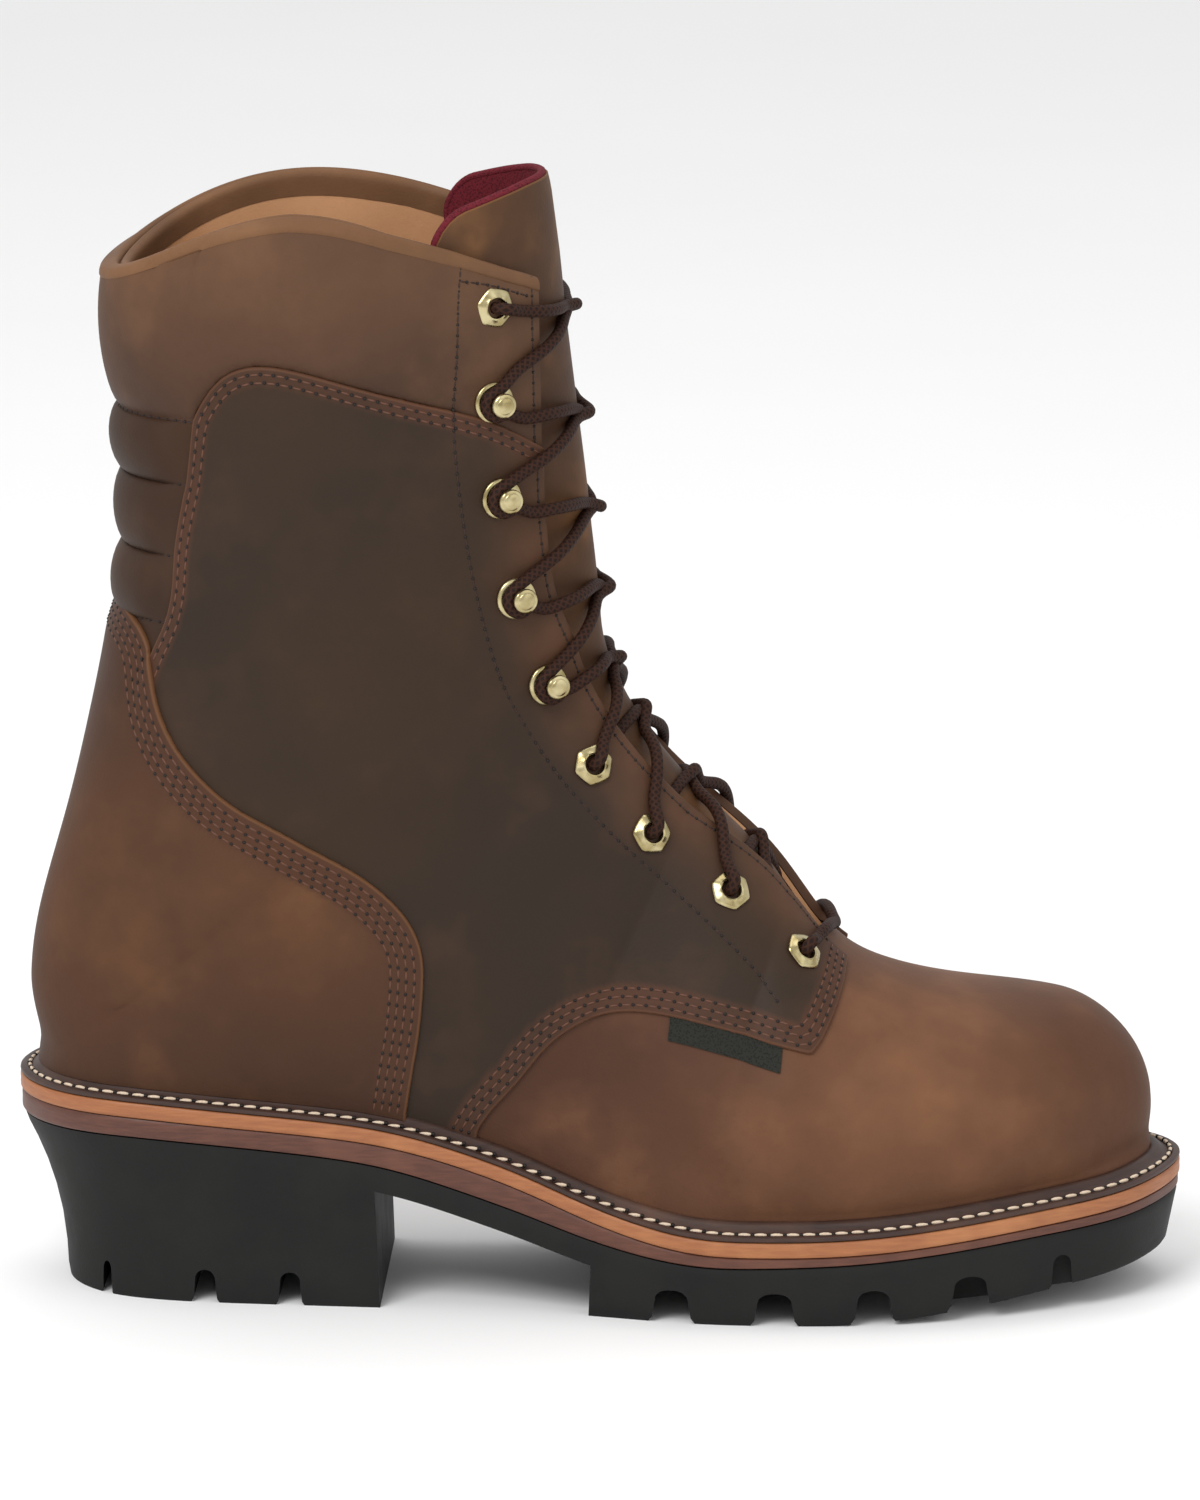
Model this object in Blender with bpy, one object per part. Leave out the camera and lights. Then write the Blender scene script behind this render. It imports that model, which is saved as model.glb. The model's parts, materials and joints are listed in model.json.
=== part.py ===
# Logger boot, right foot, standing empty on its sole.
# Metres, +Z up, toe towards +X, outer (lateral) side towards -Y, floor at Z = 0.
# The upper is one hollow wall lofted through sections that fan from the toe round the ankle to the collar.
import math
from collections import namedtuple

import bmesh
import bpy
import numpy as np
from mathutils import Matrix, Vector

# Driving dimensions of the last and the sole
SOLE_LENGTH = 0.314
BALL_WIDTH = 0.108
HEEL_WIDTH = 0.077
HEEL_DECK = 0.0565
FORE_DECK = 0.0236
TOE_SPRING = 0.0100
SHAFT_HEIGHT = 0.2250
SHAFT_WIDTH = 0.086
INSTEP_HEIGHT = 0.0780
TONGUE_RISE = 0.0215
COLLAR_BOW = 0.0165
HALF_GAP = 0.0255

# Walls and layers
WALL = 0.0026
COLLAR_WALL = 0.0052
WELT_MARGIN = 0.0075
WELT_EDGE = 0.0018
WELT_LIP = 0.0040
MIDSOLE = 0.0040
FORE_SLIP = 0.0028
HEEL_SLIP = 0.0054
INSOLE = 0.0045
TONGUE_WALL = 0.0034
GAP = 0.0004
TONGUE_GAP = 0.0011
LEDGE_GAP = 0.0009
HARDWARE_GAP = 0.0009

# Overlays, as steps and swellings of the wall
QUARTER_STEP = 0.0013
COUNTER_STEP = 0.0013
COLLAR_PUFF = 0.0036
RIB_PUFF = 0.0034
LABEL_WALL = 0.0008
LABEL_GAP = 0.0010

# Outsole
LUG_DEPTH = 0.0095
LUG_PITCH = 0.0263
LUG_GAP = 0.0122
LUG_GAP_ROOF = 0.0080
LUG_START = -0.0010
LUG_COUNT = 5
CENTRE_CHANNEL = 0.0070
ARCH_PLATE = 0.0068
BREAST_X = -0.0590
HEEL_GROOVE_DEPTH = 0.0092
HEEL_GROOVE = 0.0070
HEEL_PITCH = 0.0250
HEEL_FLARE = 0.0118
LUG_FLARE = 0.0030

# Hardware and lace
EYELET_RADIUS = 0.0056
EYELET_BORE = 0.0024
EYELET_BARREL = 0.0031
EYELET_RIM = 0.0013
HOOK_BASE_RADIUS = 0.0056
HOOK_NECK = 0.0019
HOOK_HEAD_RADIUS = 0.0033
HOOK_REACH = 0.0066
HOOK_LEAN = 0.0036
FACING_MARGIN = 0.0130
LACE_RADIUS = 0.0019

Look = namedtuple("Look", "name red green blue roughness metallic")
LEATHER = Look("oiled_leather", 0.145, 0.070, 0.038, 0.62, 0.0)
TONGUE_LEATHER = Look("tongue_leather", 0.200, 0.092, 0.045, 0.62, 0.0)
FOOTBED = Look("footbed_felt", 0.100, 0.012, 0.018, 0.90, 0.0)
WELT_LEATHER = Look("welt_leather", 0.065, 0.030, 0.022, 0.50, 0.0)
MIDSOLE_LEATHER = Look("midsole_leather", 0.480, 0.190, 0.085, 0.55, 0.0)
SLIP_LEATHER = Look("slip_leather", 0.160, 0.060, 0.040, 0.55, 0.0)
RUBBER = Look("black_rubber", 0.022, 0.022, 0.020, 0.65, 0.0)
BRASS = Look("antique_brass", 0.560, 0.480, 0.290, 0.32, 1.0)
CORD = Look("waxed_cord", 0.045, 0.024, 0.016, 0.70, 0.0)
LABEL = Look("label_weave", 0.030, 0.026, 0.018, 0.85, 0.0)

# Sole outline seen from above: x as a share of the length, half widths as shares of the local width,
# which goes from the heel's (fore 0) to the ball's (fore 1)
Plan = namedtuple("Plan", "x lateral medial fore")
PLAN = [
    Plan(-0.4915, 0.170, 0.170, 0.0),
    Plan(-0.4690, 0.318, 0.318, 0.0),
    Plan(-0.4330, 0.432, 0.432, 0.0),
    Plan(-0.3800, 0.494, 0.494, 0.0),
    Plan(-0.3000, 0.506, 0.500, 0.0),
    Plan(-0.1900, 0.504, 0.478, 0.0),
    Plan(-0.0950, 0.470, 0.428, 0.3),
    Plan(0.0000, 0.468, 0.412, 0.7),
    Plan(0.0850, 0.486, 0.452, 1.0),
    Plan(0.1650, 0.500, 0.492, 1.0),
    Plan(0.2450, 0.488, 0.500, 1.0),
    Plan(0.3250, 0.432, 0.472, 1.0),
    Plan(0.3950, 0.342, 0.402, 1.0),
    Plan(0.4500, 0.246, 0.320, 1.0),
    Plan(0.4830, 0.122, 0.210, 1.0),
]
TOE_SWING = 0.040

# Deck, the top of the midsole, along the length: shares of the heel's rise and of the toe spring
Deck = namedtuple("Deck", "x heel toe")
DECK = [
    Deck(-0.500, 1.000, 0.00),
    Deck(-0.400, 0.995, 0.00),
    Deck(-0.320, 0.935, 0.00),
    Deck(-0.250, 0.870, 0.00),
    Deck(-0.180, 0.780, 0.00),
    Deck(-0.110, 0.605, 0.00),
    Deck(-0.060, 0.440, 0.00),
    Deck(-0.010, 0.250, 0.00),
    Deck(0.040, 0.100, 0.00),
    Deck(0.090, 0.015, 0.00),
    Deck(0.140, 0.000, 0.00),
    Deck(0.210, 0.000, 0.06),
    Deck(0.280, 0.000, 0.24),
    Deck(0.350, 0.000, 0.47),
    Deck(0.430, 0.000, 0.72),
    Deck(0.500, 0.000, 1.00),
]

# Thickness of the slip sole under the midsole: share of what the heel has over the forefoot
Slip = namedtuple("Slip", "x share")
SLIP = [
    Slip(-0.500, 1.00),
    Slip(-0.180, 1.05),
    Slip(-0.090, 1.30),
    Slip(-0.020, 0.90),
    Slip(0.050, 0.30),
    Slip(0.110, 0.00),
    Slip(0.500, 0.00),
]

# Sections of the upper, each from a point on the front ridge to a base point on the welt or up the back.
# ridge_x and base_x are shares of the sole's length. ridge_up is a share of the instep height above the deck
# (shaft 0) or of the shaft height above the heel's deck (shaft 1); base_up is a share of the shaft height.
# girth is the half width as a share of the shaft width where plan is 0. Where plan is 1 the half width is the
# welt's, plus the bulge. front and back are the section's fullness, swing is the ridge's offset to the inner
# side as a share of the ball width, and gap is the half width of the tongue's strip as a share of HALF_GAP.
Section = namedtuple("Section", "ridge_x ridge_up shaft base_x base_up girth plan bulge front back swing gap")
SECTIONS = [
    Section(0.4788, 0.205, 0, 0.4788, 0.0540, 0.00, 0.0, 0.0010, 2.00, 2.00, 0.040, 0.00),
    Section(0.4764, 0.330, 0, 0.4778, 0.0230, 0.125, 0.0, 0.0012, 2.05, 2.05, 0.040, 0.10),
    Section(0.4680, 0.425, 0, 0.4759, 0.0000, 0.225, 0.0, 0.0014, 2.15, 2.10, 0.041, 0.19),
    Section(0.4500, 0.520, 0, 0.4560, 0.0000, 0.33, 1.0, 0.0016, 2.25, 2.15, 0.043, 0.28),
    Section(0.4180, 0.600, 0, 0.4190, 0.0000, 0.44, 1.0, 0.0018, 2.30, 2.15, 0.047, 0.35),
    Section(0.3700, 0.657, 0, 0.3680, 0.0000, 0.50, 1.0, 0.0020, 2.30, 2.15, 0.052, 0.41),
    Section(0.3050, 0.708, 0, 0.2980, 0.0000, 0.55, 1.0, 0.0020, 2.25, 2.15, 0.058, 0.47),
    Section(0.2450, 0.786, 0, 0.2250, 0.0000, 0.57, 1.0, 0.0022, 2.15, 2.15, 0.062, 0.52),
    Section(0.1960, 0.930, 0, 0.1420, 0.0000, 0.55, 1.0, 0.0024, 2.10, 2.20, 0.062, 0.55),
    Section(0.1480, 0.276, 1, 0.0600, 0.0000, 0.505, 0.6, 0.0024, 2.10, 2.25, 0.054, 0.60),
    Section(0.0880, 0.364, 1, -0.0500, 0.0000, 0.450, 0.2, 0.0024, 2.10, 2.35, 0.040, 0.68),
    Section(0.0410, 0.450, 1, -0.1800, 0.0000, 0.425, 0.0, 0.0024, 2.08, 2.45, 0.026, 0.76),
    Section(0.0160, 0.528, 1, -0.3050, 0.0000, 0.420, 0.0, 0.0024, 2.06, 2.50, 0.015, 0.82),
    Section(0.0118, 0.580, 1, -0.4100, 0.0000, 0.422, 0.0, 0.0024, 2.05, 2.50, 0.008, 0.92),
    Section(0.0095, 0.610, 1, -0.4610, 0.0000, 0.424, 0.0, 0.0024, 2.04, 2.40, 0.004, 1.00),
    Section(0.0072, 0.640, 1, -0.4762, 0.0000, 0.427, 0.0, 0.0024, 2.03, 2.40, 0.000, 1.08),
    Section(0.0045, 0.672, 1, -0.4810, 0.0900, 0.432, 0.0, 0.0024, 2.02, 2.40, 0.000, 1.13),
    Section(0.0016, 0.712, 1, -0.4710, 0.1900, 0.438, 0.0, 0.0024, 2.02, 2.40, 0.000, 1.15),
    Section(-0.0022, 0.758, 1, -0.4487, 0.3000, 0.444, 0.0, 0.0024, 2.02, 2.40, 0.000, 1.15),
    Section(-0.0065, 0.805, 1, -0.4285, 0.4150, 0.452, 0.0, 0.0024, 2.02, 2.40, 0.000, 1.11),
    Section(-0.0105, 0.850, 1, -0.4120, 0.5300, 0.462, 0.0, 0.0024, 2.02, 2.35, 0.000, 1.07),
    Section(-0.0142, 0.892, 1, -0.4030, 0.6500, 0.474, 0.0, 0.0024, 2.02, 2.35, 0.000, 1.03),
    Section(-0.0175, 0.932, 1, -0.4065, 0.7700, 0.486, 0.0, 0.0024, 2.02, 2.30, 0.000, 1.00),
    Section(-0.0200, 0.968, 1, -0.4125, 0.8750, 0.495, 0.0, 0.0024, 2.02, 2.30, 0.000, 0.97),
    Section(-0.0223, 1.000, 1, -0.4140, 0.9600, 0.500, 0.0, 0.0024, 2.02, 2.30, 0.000, 0.95),
]
TIP_ROW = 2
THROAT_ROW = 8
HEEL_ROW = 15
TOP_ROW = len(SECTIONS) - 1
BOW_START = 19.0

# Edges of the panels in side view, the same on both sides: x as a share of the sole's length, up as a share
# of the shaft height above the heel's deck
Edge = namedtuple("Edge", "x up")
VAMP_EDGE = [
    Edge(-0.108, -0.130),
    Edge(-0.098, -0.030),
    Edge(-0.066, 0.026),
    Edge(-0.042, 0.068),
    Edge(-0.012, 0.099),
    Edge(0.014, 0.111),
    Edge(0.047, 0.112),
    Edge(0.105, 0.097),
    Edge(0.183, 0.070),
]
FACING_EDGE = [
    Edge(0.192, 0.084),
    Edge(0.208, 0.130),
    Edge(0.215, 0.190),
    Edge(0.214, 0.260),
    Edge(0.200, 0.400),
    Edge(0.100, 0.900),
]
COLLAR_EDGE = [
    Edge(0.100, 0.700),
    Edge(-0.020, 0.755),
    Edge(-0.054, 0.790),
    Edge(-0.082, 0.815),
    Edge(-0.145, 0.845),
    Edge(-0.209, 0.870),
    Edge(-0.253, 0.886),
    Edge(-0.285, 0.889),
    Edge(-0.305, 0.880),
    Edge(-0.325, 0.851),
    Edge(-0.336, 0.822),
]
RIB_EDGE = [
    Edge(-0.342, 0.747),
    Edge(-0.348, 0.709),
    Edge(-0.354, 0.652),
    Edge(-0.356, 0.613),
    Edge(-0.363, 0.573),
    Edge(-0.375, 0.535),
    Edge(-0.390, 0.450),
    Edge(-0.390, -0.200),
]
COUNTER_EDGE = [
    Edge(-0.520, 0.640),
    Edge(-0.430, 0.610),
    Edge(-0.405, 0.590),
    Edge(-0.380, 0.555),
    Edge(-0.369, 0.489),
    Edge(-0.352, 0.430),
    Edge(-0.331, 0.394),
    Edge(-0.303, 0.361),
    Edge(-0.271, 0.336),
    Edge(-0.233, 0.306),
    Edge(-0.206, 0.284),
    Edge(-0.179, 0.255),
    Edge(-0.157, 0.219),
    Edge(-0.147, 0.183),
    Edge(-0.146, 0.141),
    Edge(-0.150, 0.082),
    Edge(-0.157, 0.022),
    Edge(-0.165, -0.060),
]

# Seams between the padded ribs up the back: heights as shares of the shaft height above the heel's deck
RIB_SEAMS = [0.575, 0.655, 0.742, 0.818]

# Lace stops up the facing: section is a row of SECTIONS, reach the arc beyond the facing's edge as a share of
# FACING_MARGIN, step 1 on the quarter's leather and 0 on the collar
Stop = namedtuple("Stop", "kind section reach step")
STOPS = [
    Stop("eyelet", 8.35, 1.25, 1),
    Stop("eyelet", 9.35, 1.22, 1),
    Stop("eyelet", 10.30, 1.12, 1),
    Stop("eyelet", 11.25, 1.00, 1),
    Stop("hook", 12.85, 0.98, 1),
    Stop("hook", 16.40, 1.00, 1),
    Stop("hook", 18.80, 1.15, 1),
    Stop("hook", 20.75, 1.20, 0),
    Stop("eyelet", 22.60, 1.12, 0),
]


# Curves and tables
def spline(knots, values):
    """A natural cubic through the values, as a function of the knot coordinate."""
    t = np.array(knots, float)
    v = np.array(values, float)
    step = np.diff(t)
    count = len(t)
    system = np.eye(count)
    right = np.zeros(count)
    for i in range(1, count - 1):
        system[i, i - 1 : i + 2] = step[i - 1], 2 * (step[i - 1] + step[i]), step[i]
        right[i] = 6 * ((v[i + 1] - v[i]) / step[i] - (v[i] - v[i - 1]) / step[i - 1])
    bend = np.linalg.solve(system, right)

    def at(x):
        x = np.clip(x, t[0], t[-1])
        i = np.clip(np.searchsorted(t, x) - 1, 0, count - 2)
        a = (t[i + 1] - x) / step[i]
        b = (x - t[i]) / step[i]
        return a * v[i] + b * v[i + 1] + ((a**3 - a) * bend[i] + (b**3 - b) * bend[i + 1]) * step[i] ** 2 / 6

    return at


def smooth(edge_from, edge_to, x):
    """0 up to edge_from, 1 from edge_to on, with a soft S between."""
    t = np.clip((x - edge_from) / (edge_to - edge_from), 0, 1)
    return t * t * (3 - 2 * t)


deck_heel = spline([d.x for d in DECK], [d.heel for d in DECK])
deck_toe = spline([d.x for d in DECK], [d.toe for d in DECK])
slip_share = spline([s.x for s in SLIP], [s.share for s in SLIP])


def deck(x):
    """Height of the midsole's top at x."""
    share = x / SOLE_LENGTH
    return FORE_DECK + (HEEL_DECK - FORE_DECK) * deck_heel(share) + TOE_SPRING * deck_toe(share)


def midsole_bottom(x):
    return deck(x) - MIDSOLE


def slip_top(x):
    return midsole_bottom(x) - GAP


def slip_bottom(x):
    return slip_top(x) - FORE_SLIP - (HEEL_SLIP - FORE_SLIP) * slip_share(x / SOLE_LENGTH)


def rubber_top(x):
    return slip_bottom(x) - GAP


def ground(x):
    """Height of the tread above the floor: 0 under the heel and ball, rising to the toe."""
    return 1.3 * TOE_SPRING * smooth(0.17, 0.62, x / SOLE_LENGTH)


def outline_curve():
    """The sole's outline as functions of a share: 0 back centre, 0.5 toe tip, 1 back centre, lateral side first."""
    width = [HEEL_WIDTH + (BALL_WIDTH - HEEL_WIDTH) * p.fore for p in PLAN]
    lateral = [(p.x * SOLE_LENGTH, -p.lateral * w) for p, w in zip(PLAN, width)]
    medial = [(p.x * SOLE_LENGTH, p.medial * w) for p, w in zip(PLAN, width)][::-1]
    points = [(-SOLE_LENGTH / 2, 0.0)] + lateral + [(SOLE_LENGTH / 2, TOE_SWING * BALL_WIDTH)] + medial
    wrap = 4
    ring = np.array(points[-wrap:] + points + points[: wrap + 1])
    chord = np.concatenate([[0], np.cumsum(np.linalg.norm(np.diff(ring, axis=0), axis=1))])
    x_at, y_at = spline(chord, ring[:, 0]), spline(chord, ring[:, 1])
    marks = chord[[wrap, wrap + 1 + len(PLAN), wrap + len(points)]]

    def at(share):
        s = np.interp(share, [0, 0.5, 1], marks)
        reach = 1e-4
        ahead = np.stack([x_at(s + reach) - x_at(s - reach), y_at(s + reach) - y_at(s - reach)], axis=-1)
        ahead /= np.linalg.norm(ahead, axis=-1)[..., None]
        outward = np.stack([ahead[..., 1], -ahead[..., 0]], axis=-1)
        return np.stack([x_at(s), y_at(s)], axis=-1), outward

    return at


outline = outline_curve()


def outline_ring(count, inset=0.0):
    """A ring of count points (even), moved in by inset, which may be a function of x."""
    point, outward = outline(np.arange(count) / count)
    depth = inset(point[:, 0]) if callable(inset) else inset
    return point - outward * np.reshape(depth * np.ones(count), (-1, 1))


FEATHER = outline_ring(800, WELT_MARGIN)
FEATHER_BACK = FEATHER[0]
FEATHER_TIP = FEATHER[len(FEATHER) // 2]


def feather(x):
    """The upper's base at x: y on the lateral and on the medial side."""
    half = len(FEATHER) // 2
    lateral = FEATHER[: half + 1]
    medial = np.concatenate([FEATHER[half:], FEATHER[:1]])[::-1]
    return float(np.interp(x, lateral[:, 0], lateral[:, 1])), float(np.interp(x, medial[:, 0], medial[:, 1]))


# The upper's own surface
def ridge_height(row):
    if row.shaft:
        return HEEL_DECK + row.ridge_up * SHAFT_HEIGHT
    return deck(row.ridge_x * SOLE_LENGTH) + row.ridge_up * INSTEP_HEIGHT


ROWS = range(len(SECTIONS))
ridge_x = spline(ROWS, [r.ridge_x * SOLE_LENGTH for r in SECTIONS])
ridge_z = spline(ROWS, [ridge_height(r) for r in SECTIONS])
base_x = spline(ROWS, [r.base_x * SOLE_LENGTH for r in SECTIONS])
base_rise = spline(ROWS, [r.base_up * SHAFT_HEIGHT for r in SECTIONS])
girth = spline(ROWS, [r.girth * SHAFT_WIDTH for r in SECTIONS])
plan_share = spline(ROWS, [r.plan for r in SECTIONS])
bulge = spline(ROWS, [r.bulge for r in SECTIONS])
front_power = spline(ROWS, [r.front for r in SECTIONS])
back_power = spline(ROWS, [r.back for r in SECTIONS])
swing = spline(ROWS, [r.swing * BALL_WIDTH for r in SECTIONS])
strip_half = spline(ROWS, [r.gap * HALF_GAP for r in SECTIONS])


def section_half(u, side, count=240):
    """Half a section, ridge to base, as points and arc lengths. side is -1 lateral, +1 medial."""
    top = np.array([ridge_x(u), swing(u), ridge_z(u)])
    x = float(np.clip(base_x(u), FEATHER_BACK[0], FEATHER_TIP[0])) if TIP_ROW <= u <= HEEL_ROW else float(base_x(u))
    rise = 0.0 if TIP_ROW <= u <= HEEL_ROW else max(float(base_rise(u)), 0.0)
    foot = np.array([x, 0.0, deck(x) + WELT_LIP + LEDGE_GAP + rise])
    if TIP_ROW < u < HEEL_ROW:
        foot[1] = feather(x)[0 if side < 0 else 1]
    elif u <= TIP_ROW:
        foot[1] = FEATHER_TIP[1]
    inner = abs(foot[1] - top[1])
    share = min(max(float(plan_share(u)), 0), 1) if u > TIP_ROW else 0.0
    wide = max(share * (inner + float(bulge(u))) + (1 - share) * float(girth(u)), inner + 1e-4)
    fronts, backs = 2 / float(front_power(u)), 2 / float(back_power(u))
    closing = math.pi - math.asin(min(1.0, (inner / wide)) ** (1 / backs)) if inner > 0 else math.pi
    angle = np.linspace(0, closing, count)
    power = np.where(angle < math.pi / 2, fronts, backs)
    width = wide * np.maximum(np.sin(angle), 0) ** power
    along = 1 - np.sign(np.cos(angle)) * np.abs(np.cos(angle)) ** power
    along /= along[-1]
    points = top + (foot - top) * along[:, None]
    points[:, 1] = top[1] + side * width
    if TIP_ROW >= u or u >= HEEL_ROW:
        points[:, 1] += (foot[1] - top[1]) * along
    bow = COLLAR_BOW * smooth(BOW_START, TOP_ROW, u) ** 1.3
    points[:, 2] += bow * np.sin(math.pi * np.clip(along, 0, 1) ** 1.12) ** 1.2
    arc = np.concatenate([[0], np.cumsum(np.linalg.norm(np.diff(points, axis=0), axis=1))])
    return points, arc


def on_arc(points, arc, distance):
    return np.array([np.interp(distance, arc, points[:, k]) for k in range(3)])


def on_front(u, side, distance):
    """The point of the upper's surface at an arc distance from the ridge, and the outward normal there."""
    reach = 0.0015

    def at(row, away):
        points, arc = section_half(row, side)
        return on_arc(points, arc, away)

    here = at(u, distance)
    across = at(u, distance + reach) - at(u, distance - reach)
    up = at(min(u + 0.1, TOP_ROW), distance) - at(u - 0.1, distance)
    normal = np.cross(across, up) * side
    return here, normal / np.linalg.norm(normal)


# Panels
def side_view(edges):
    """A smooth line through the edge rows, in side-view metres."""
    points = np.array([(e.x * SOLE_LENGTH, HEEL_DECK + e.up * SHAFT_HEIGHT) for e in edges])
    chord = np.concatenate([[0], np.cumsum(np.linalg.norm(np.diff(points, axis=0), axis=1))])
    way = np.linspace(0, chord[-1], 4 * len(edges))
    return np.stack([spline(chord, points[:, 0])(way), spline(chord, points[:, 1])(way)], axis=1)


def inside_distance(shape, x, z):
    """Distance to a closed side-view outline, negative inside it."""
    start, end = shape, np.roll(shape, -1, axis=0)
    way = end - start
    offset = np.array([x, z]) - start
    share = np.clip((offset * way).sum(1) / (way * way).sum(1), 0, 1)
    nearest = np.linalg.norm(offset - way * share[:, None], axis=1).min()
    crossing = (start[:, 1] > z) != (end[:, 1] > z)
    level = np.where(crossing, start[:, 0] + (z - start[:, 1]) * way[:, 0] / np.where(way[:, 1] == 0, 1, way[:, 1]), -9)
    odd = np.count_nonzero(crossing & (level > x)) % 2
    return -nearest if odd else nearest


def corner(x, up):
    return np.array([[x * SOLE_LENGTH, HEEL_DECK + up * SHAFT_HEIGHT]])


QUARTER_SHAPE = np.concatenate(
    [side_view(VAMP_EDGE), side_view(FACING_EDGE), side_view(COLLAR_EDGE), side_view(RIB_EDGE)]
)
COUNTER_SHAPE = np.concatenate([side_view(COUNTER_EDGE), corner(-0.165, -0.3), corner(-0.6, -0.3)])
COLLAR_LINE = side_view(COLLAR_EDGE)[::-1]
RIB_LINE = side_view(RIB_EDGE)[::-1]


def swelling(point):
    """How far padding lifts the surface: the collar's roll and the ribs up the back."""
    x, _, z = point
    share = (z - HEEL_DECK) / SHAFT_HEIGHT
    seam = max(np.interp(x, COLLAR_LINE[:, 0], COLLAR_LINE[:, 1]), HEEL_DECK + RIB_SEAMS[-1] * SHAFT_HEIGHT)
    lift = (z - seam) / (0.030)
    back = 1 - smooth(-0.150, -0.085, x / SOLE_LENGTH)
    puff = COLLAR_PUFF * back * math.sqrt(max(math.sin(math.pi * min(max(lift / 1.35, 0), 1)), 0))
    edge = np.interp(z, RIB_LINE[:, 1], RIB_LINE[:, 0])
    column = 1 - smooth(edge - 0.008, edge + 0.001, x)
    for low, high in zip(RIB_SEAMS, RIB_SEAMS[1:]):
        if low < share < high:
            puff += RIB_PUFF * column * math.sqrt(math.sin(math.pi * (share - low) / (high - low)))
    return puff


def wall_at(point):
    """Thickness of the wall: one leather, thicker where the collar is padded."""
    pad = 1 - smooth(-0.210, -0.155, point[0] / SOLE_LENGTH)
    return WALL + (COLLAR_WALL - WALL) * pad * smooth(0.78, 0.86, (point[2] - HEEL_DECK) / SHAFT_HEIGHT)


# Meshes
def new_object(name, vertices, faces, look):
    mesh = bpy.data.meshes.new(name)
    mesh.from_pydata([tuple(v) for v in vertices], [], [tuple(f) for f in faces])
    bm = bmesh.new()
    bm.from_mesh(mesh)
    bmesh.ops.recalc_face_normals(bm, faces=bm.faces)
    bm.to_mesh(mesh)
    bm.free()
    obj = bpy.data.objects.new(name, mesh)
    bpy.context.collection.objects.link(obj)
    obj.data.materials.append(material(look))
    return obj


def material(look):
    found = bpy.data.materials.get(look.name)
    if found:
        return found
    made = bpy.data.materials.new(look.name)
    made.use_nodes = True
    shader = made.node_tree.nodes["Principled BSDF"]
    shader.inputs["Base Color"].default_value = (look.red, look.green, look.blue, 1)
    shader.inputs["Roughness"].default_value = look.roughness
    shader.inputs["Metallic"].default_value = look.metallic
    made.diffuse_color = (look.red, look.green, look.blue, 1)
    return made


def slab(name, rings, look):
    """A solid through stacked rings, each lateral half then medial half, capped across from side to side."""
    count = len(rings[0])
    vertices = [p for ring in rings for p in ring]
    faces = []
    for level in range(len(rings) - 1):
        for i in range(count):
            j = (i + 1) % count
            faces.append((level * count + i, level * count + j, (level + 1) * count + j, (level + 1) * count + i))
    for first in (0, (len(rings) - 1) * count):
        for i in range(count // 2):
            cap = [first + i, first + i + 1, first + (count - i - 1) % count, first + (count - i) % count]
            faces.append(tuple(dict.fromkeys(cap)))
    return new_object(name, vertices, faces, look)


def ring_at(count, inset, height):
    """A ring of the outline in space, its height a function of x."""
    flat = outline_ring(count, inset)
    return [(x, y, height(x)) for x, y in flat]


def cutter(name, profile, y_from, y_to):
    """A bar with a side-view profile, used only to cut."""
    low = [(x, y_from, z) for x, z in profile]
    high = [(x, y_to, z) for x, z in profile]
    count = len(profile)
    faces = [tuple(range(count)), tuple(range(count, 2 * count))]
    faces += [(i, (i + 1) % count, count + (i + 1) % count, count + i) for i in range(count)]
    return low + high, faces


def cut(target, pieces, name):
    """Cut the target by bars that don't touch each other."""
    vertices, faces = [], []
    for points, sides in pieces:
        faces += [tuple(len(vertices) + i for i in side) for side in sides]
        vertices += points
    tool = new_object(name, vertices, faces, RUBBER)
    tool.hide_render = True
    tool.display_type = "WIRE"
    tool.hide_set(True)
    change = target.modifiers.new(name, "BOOLEAN")
    change.operation = "DIFFERENCE"
    change.solver = "EXACT"
    change.object = tool


def build_sole():
    count = 72
    slab("midsole", [ring_at(count, 0.0, deck), ring_at(count, 0.0, midsole_bottom)], MIDSOLE_LEATHER)
    slab("slip_sole", [ring_at(count, 0.0004, slip_top), ring_at(count, 0.0004, slip_bottom)], SLIP_LEATHER)
    build_welt(88)
    build_outsole(count)
    inset = WELT_MARGIN + WALL + 2 * GAP
    low = ring_at(72, inset, lambda x: deck(x) + GAP)
    high = ring_at(72, inset, lambda x: deck(x) + GAP + INSOLE)
    slab("insole", [low, high], FOOTBED)


def build_welt(count):
    """A ring round the upper's base, its top falling from the upper to the outer edge."""
    inner = WELT_MARGIN - 1.5 * GAP
    rings = [
        ring_at(count, 0.0002, lambda x: deck(x) + GAP),
        ring_at(count, 0.0002, lambda x: deck(x) + WELT_EDGE),
        ring_at(count, inner, lambda x: deck(x) + WELT_LIP),
        ring_at(count, inner, lambda x: deck(x) + GAP),
    ]
    vertices = [p for ring in rings for p in ring]
    faces = []
    for level in range(4):
        below, above = level * count, (level + 1) % 4 * count
        faces += [(below + i, below + (i + 1) % count, above + (i + 1) % count, above + i) for i in range(count)]
    new_object("welt", vertices, faces, WELT_LEATHER)


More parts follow.
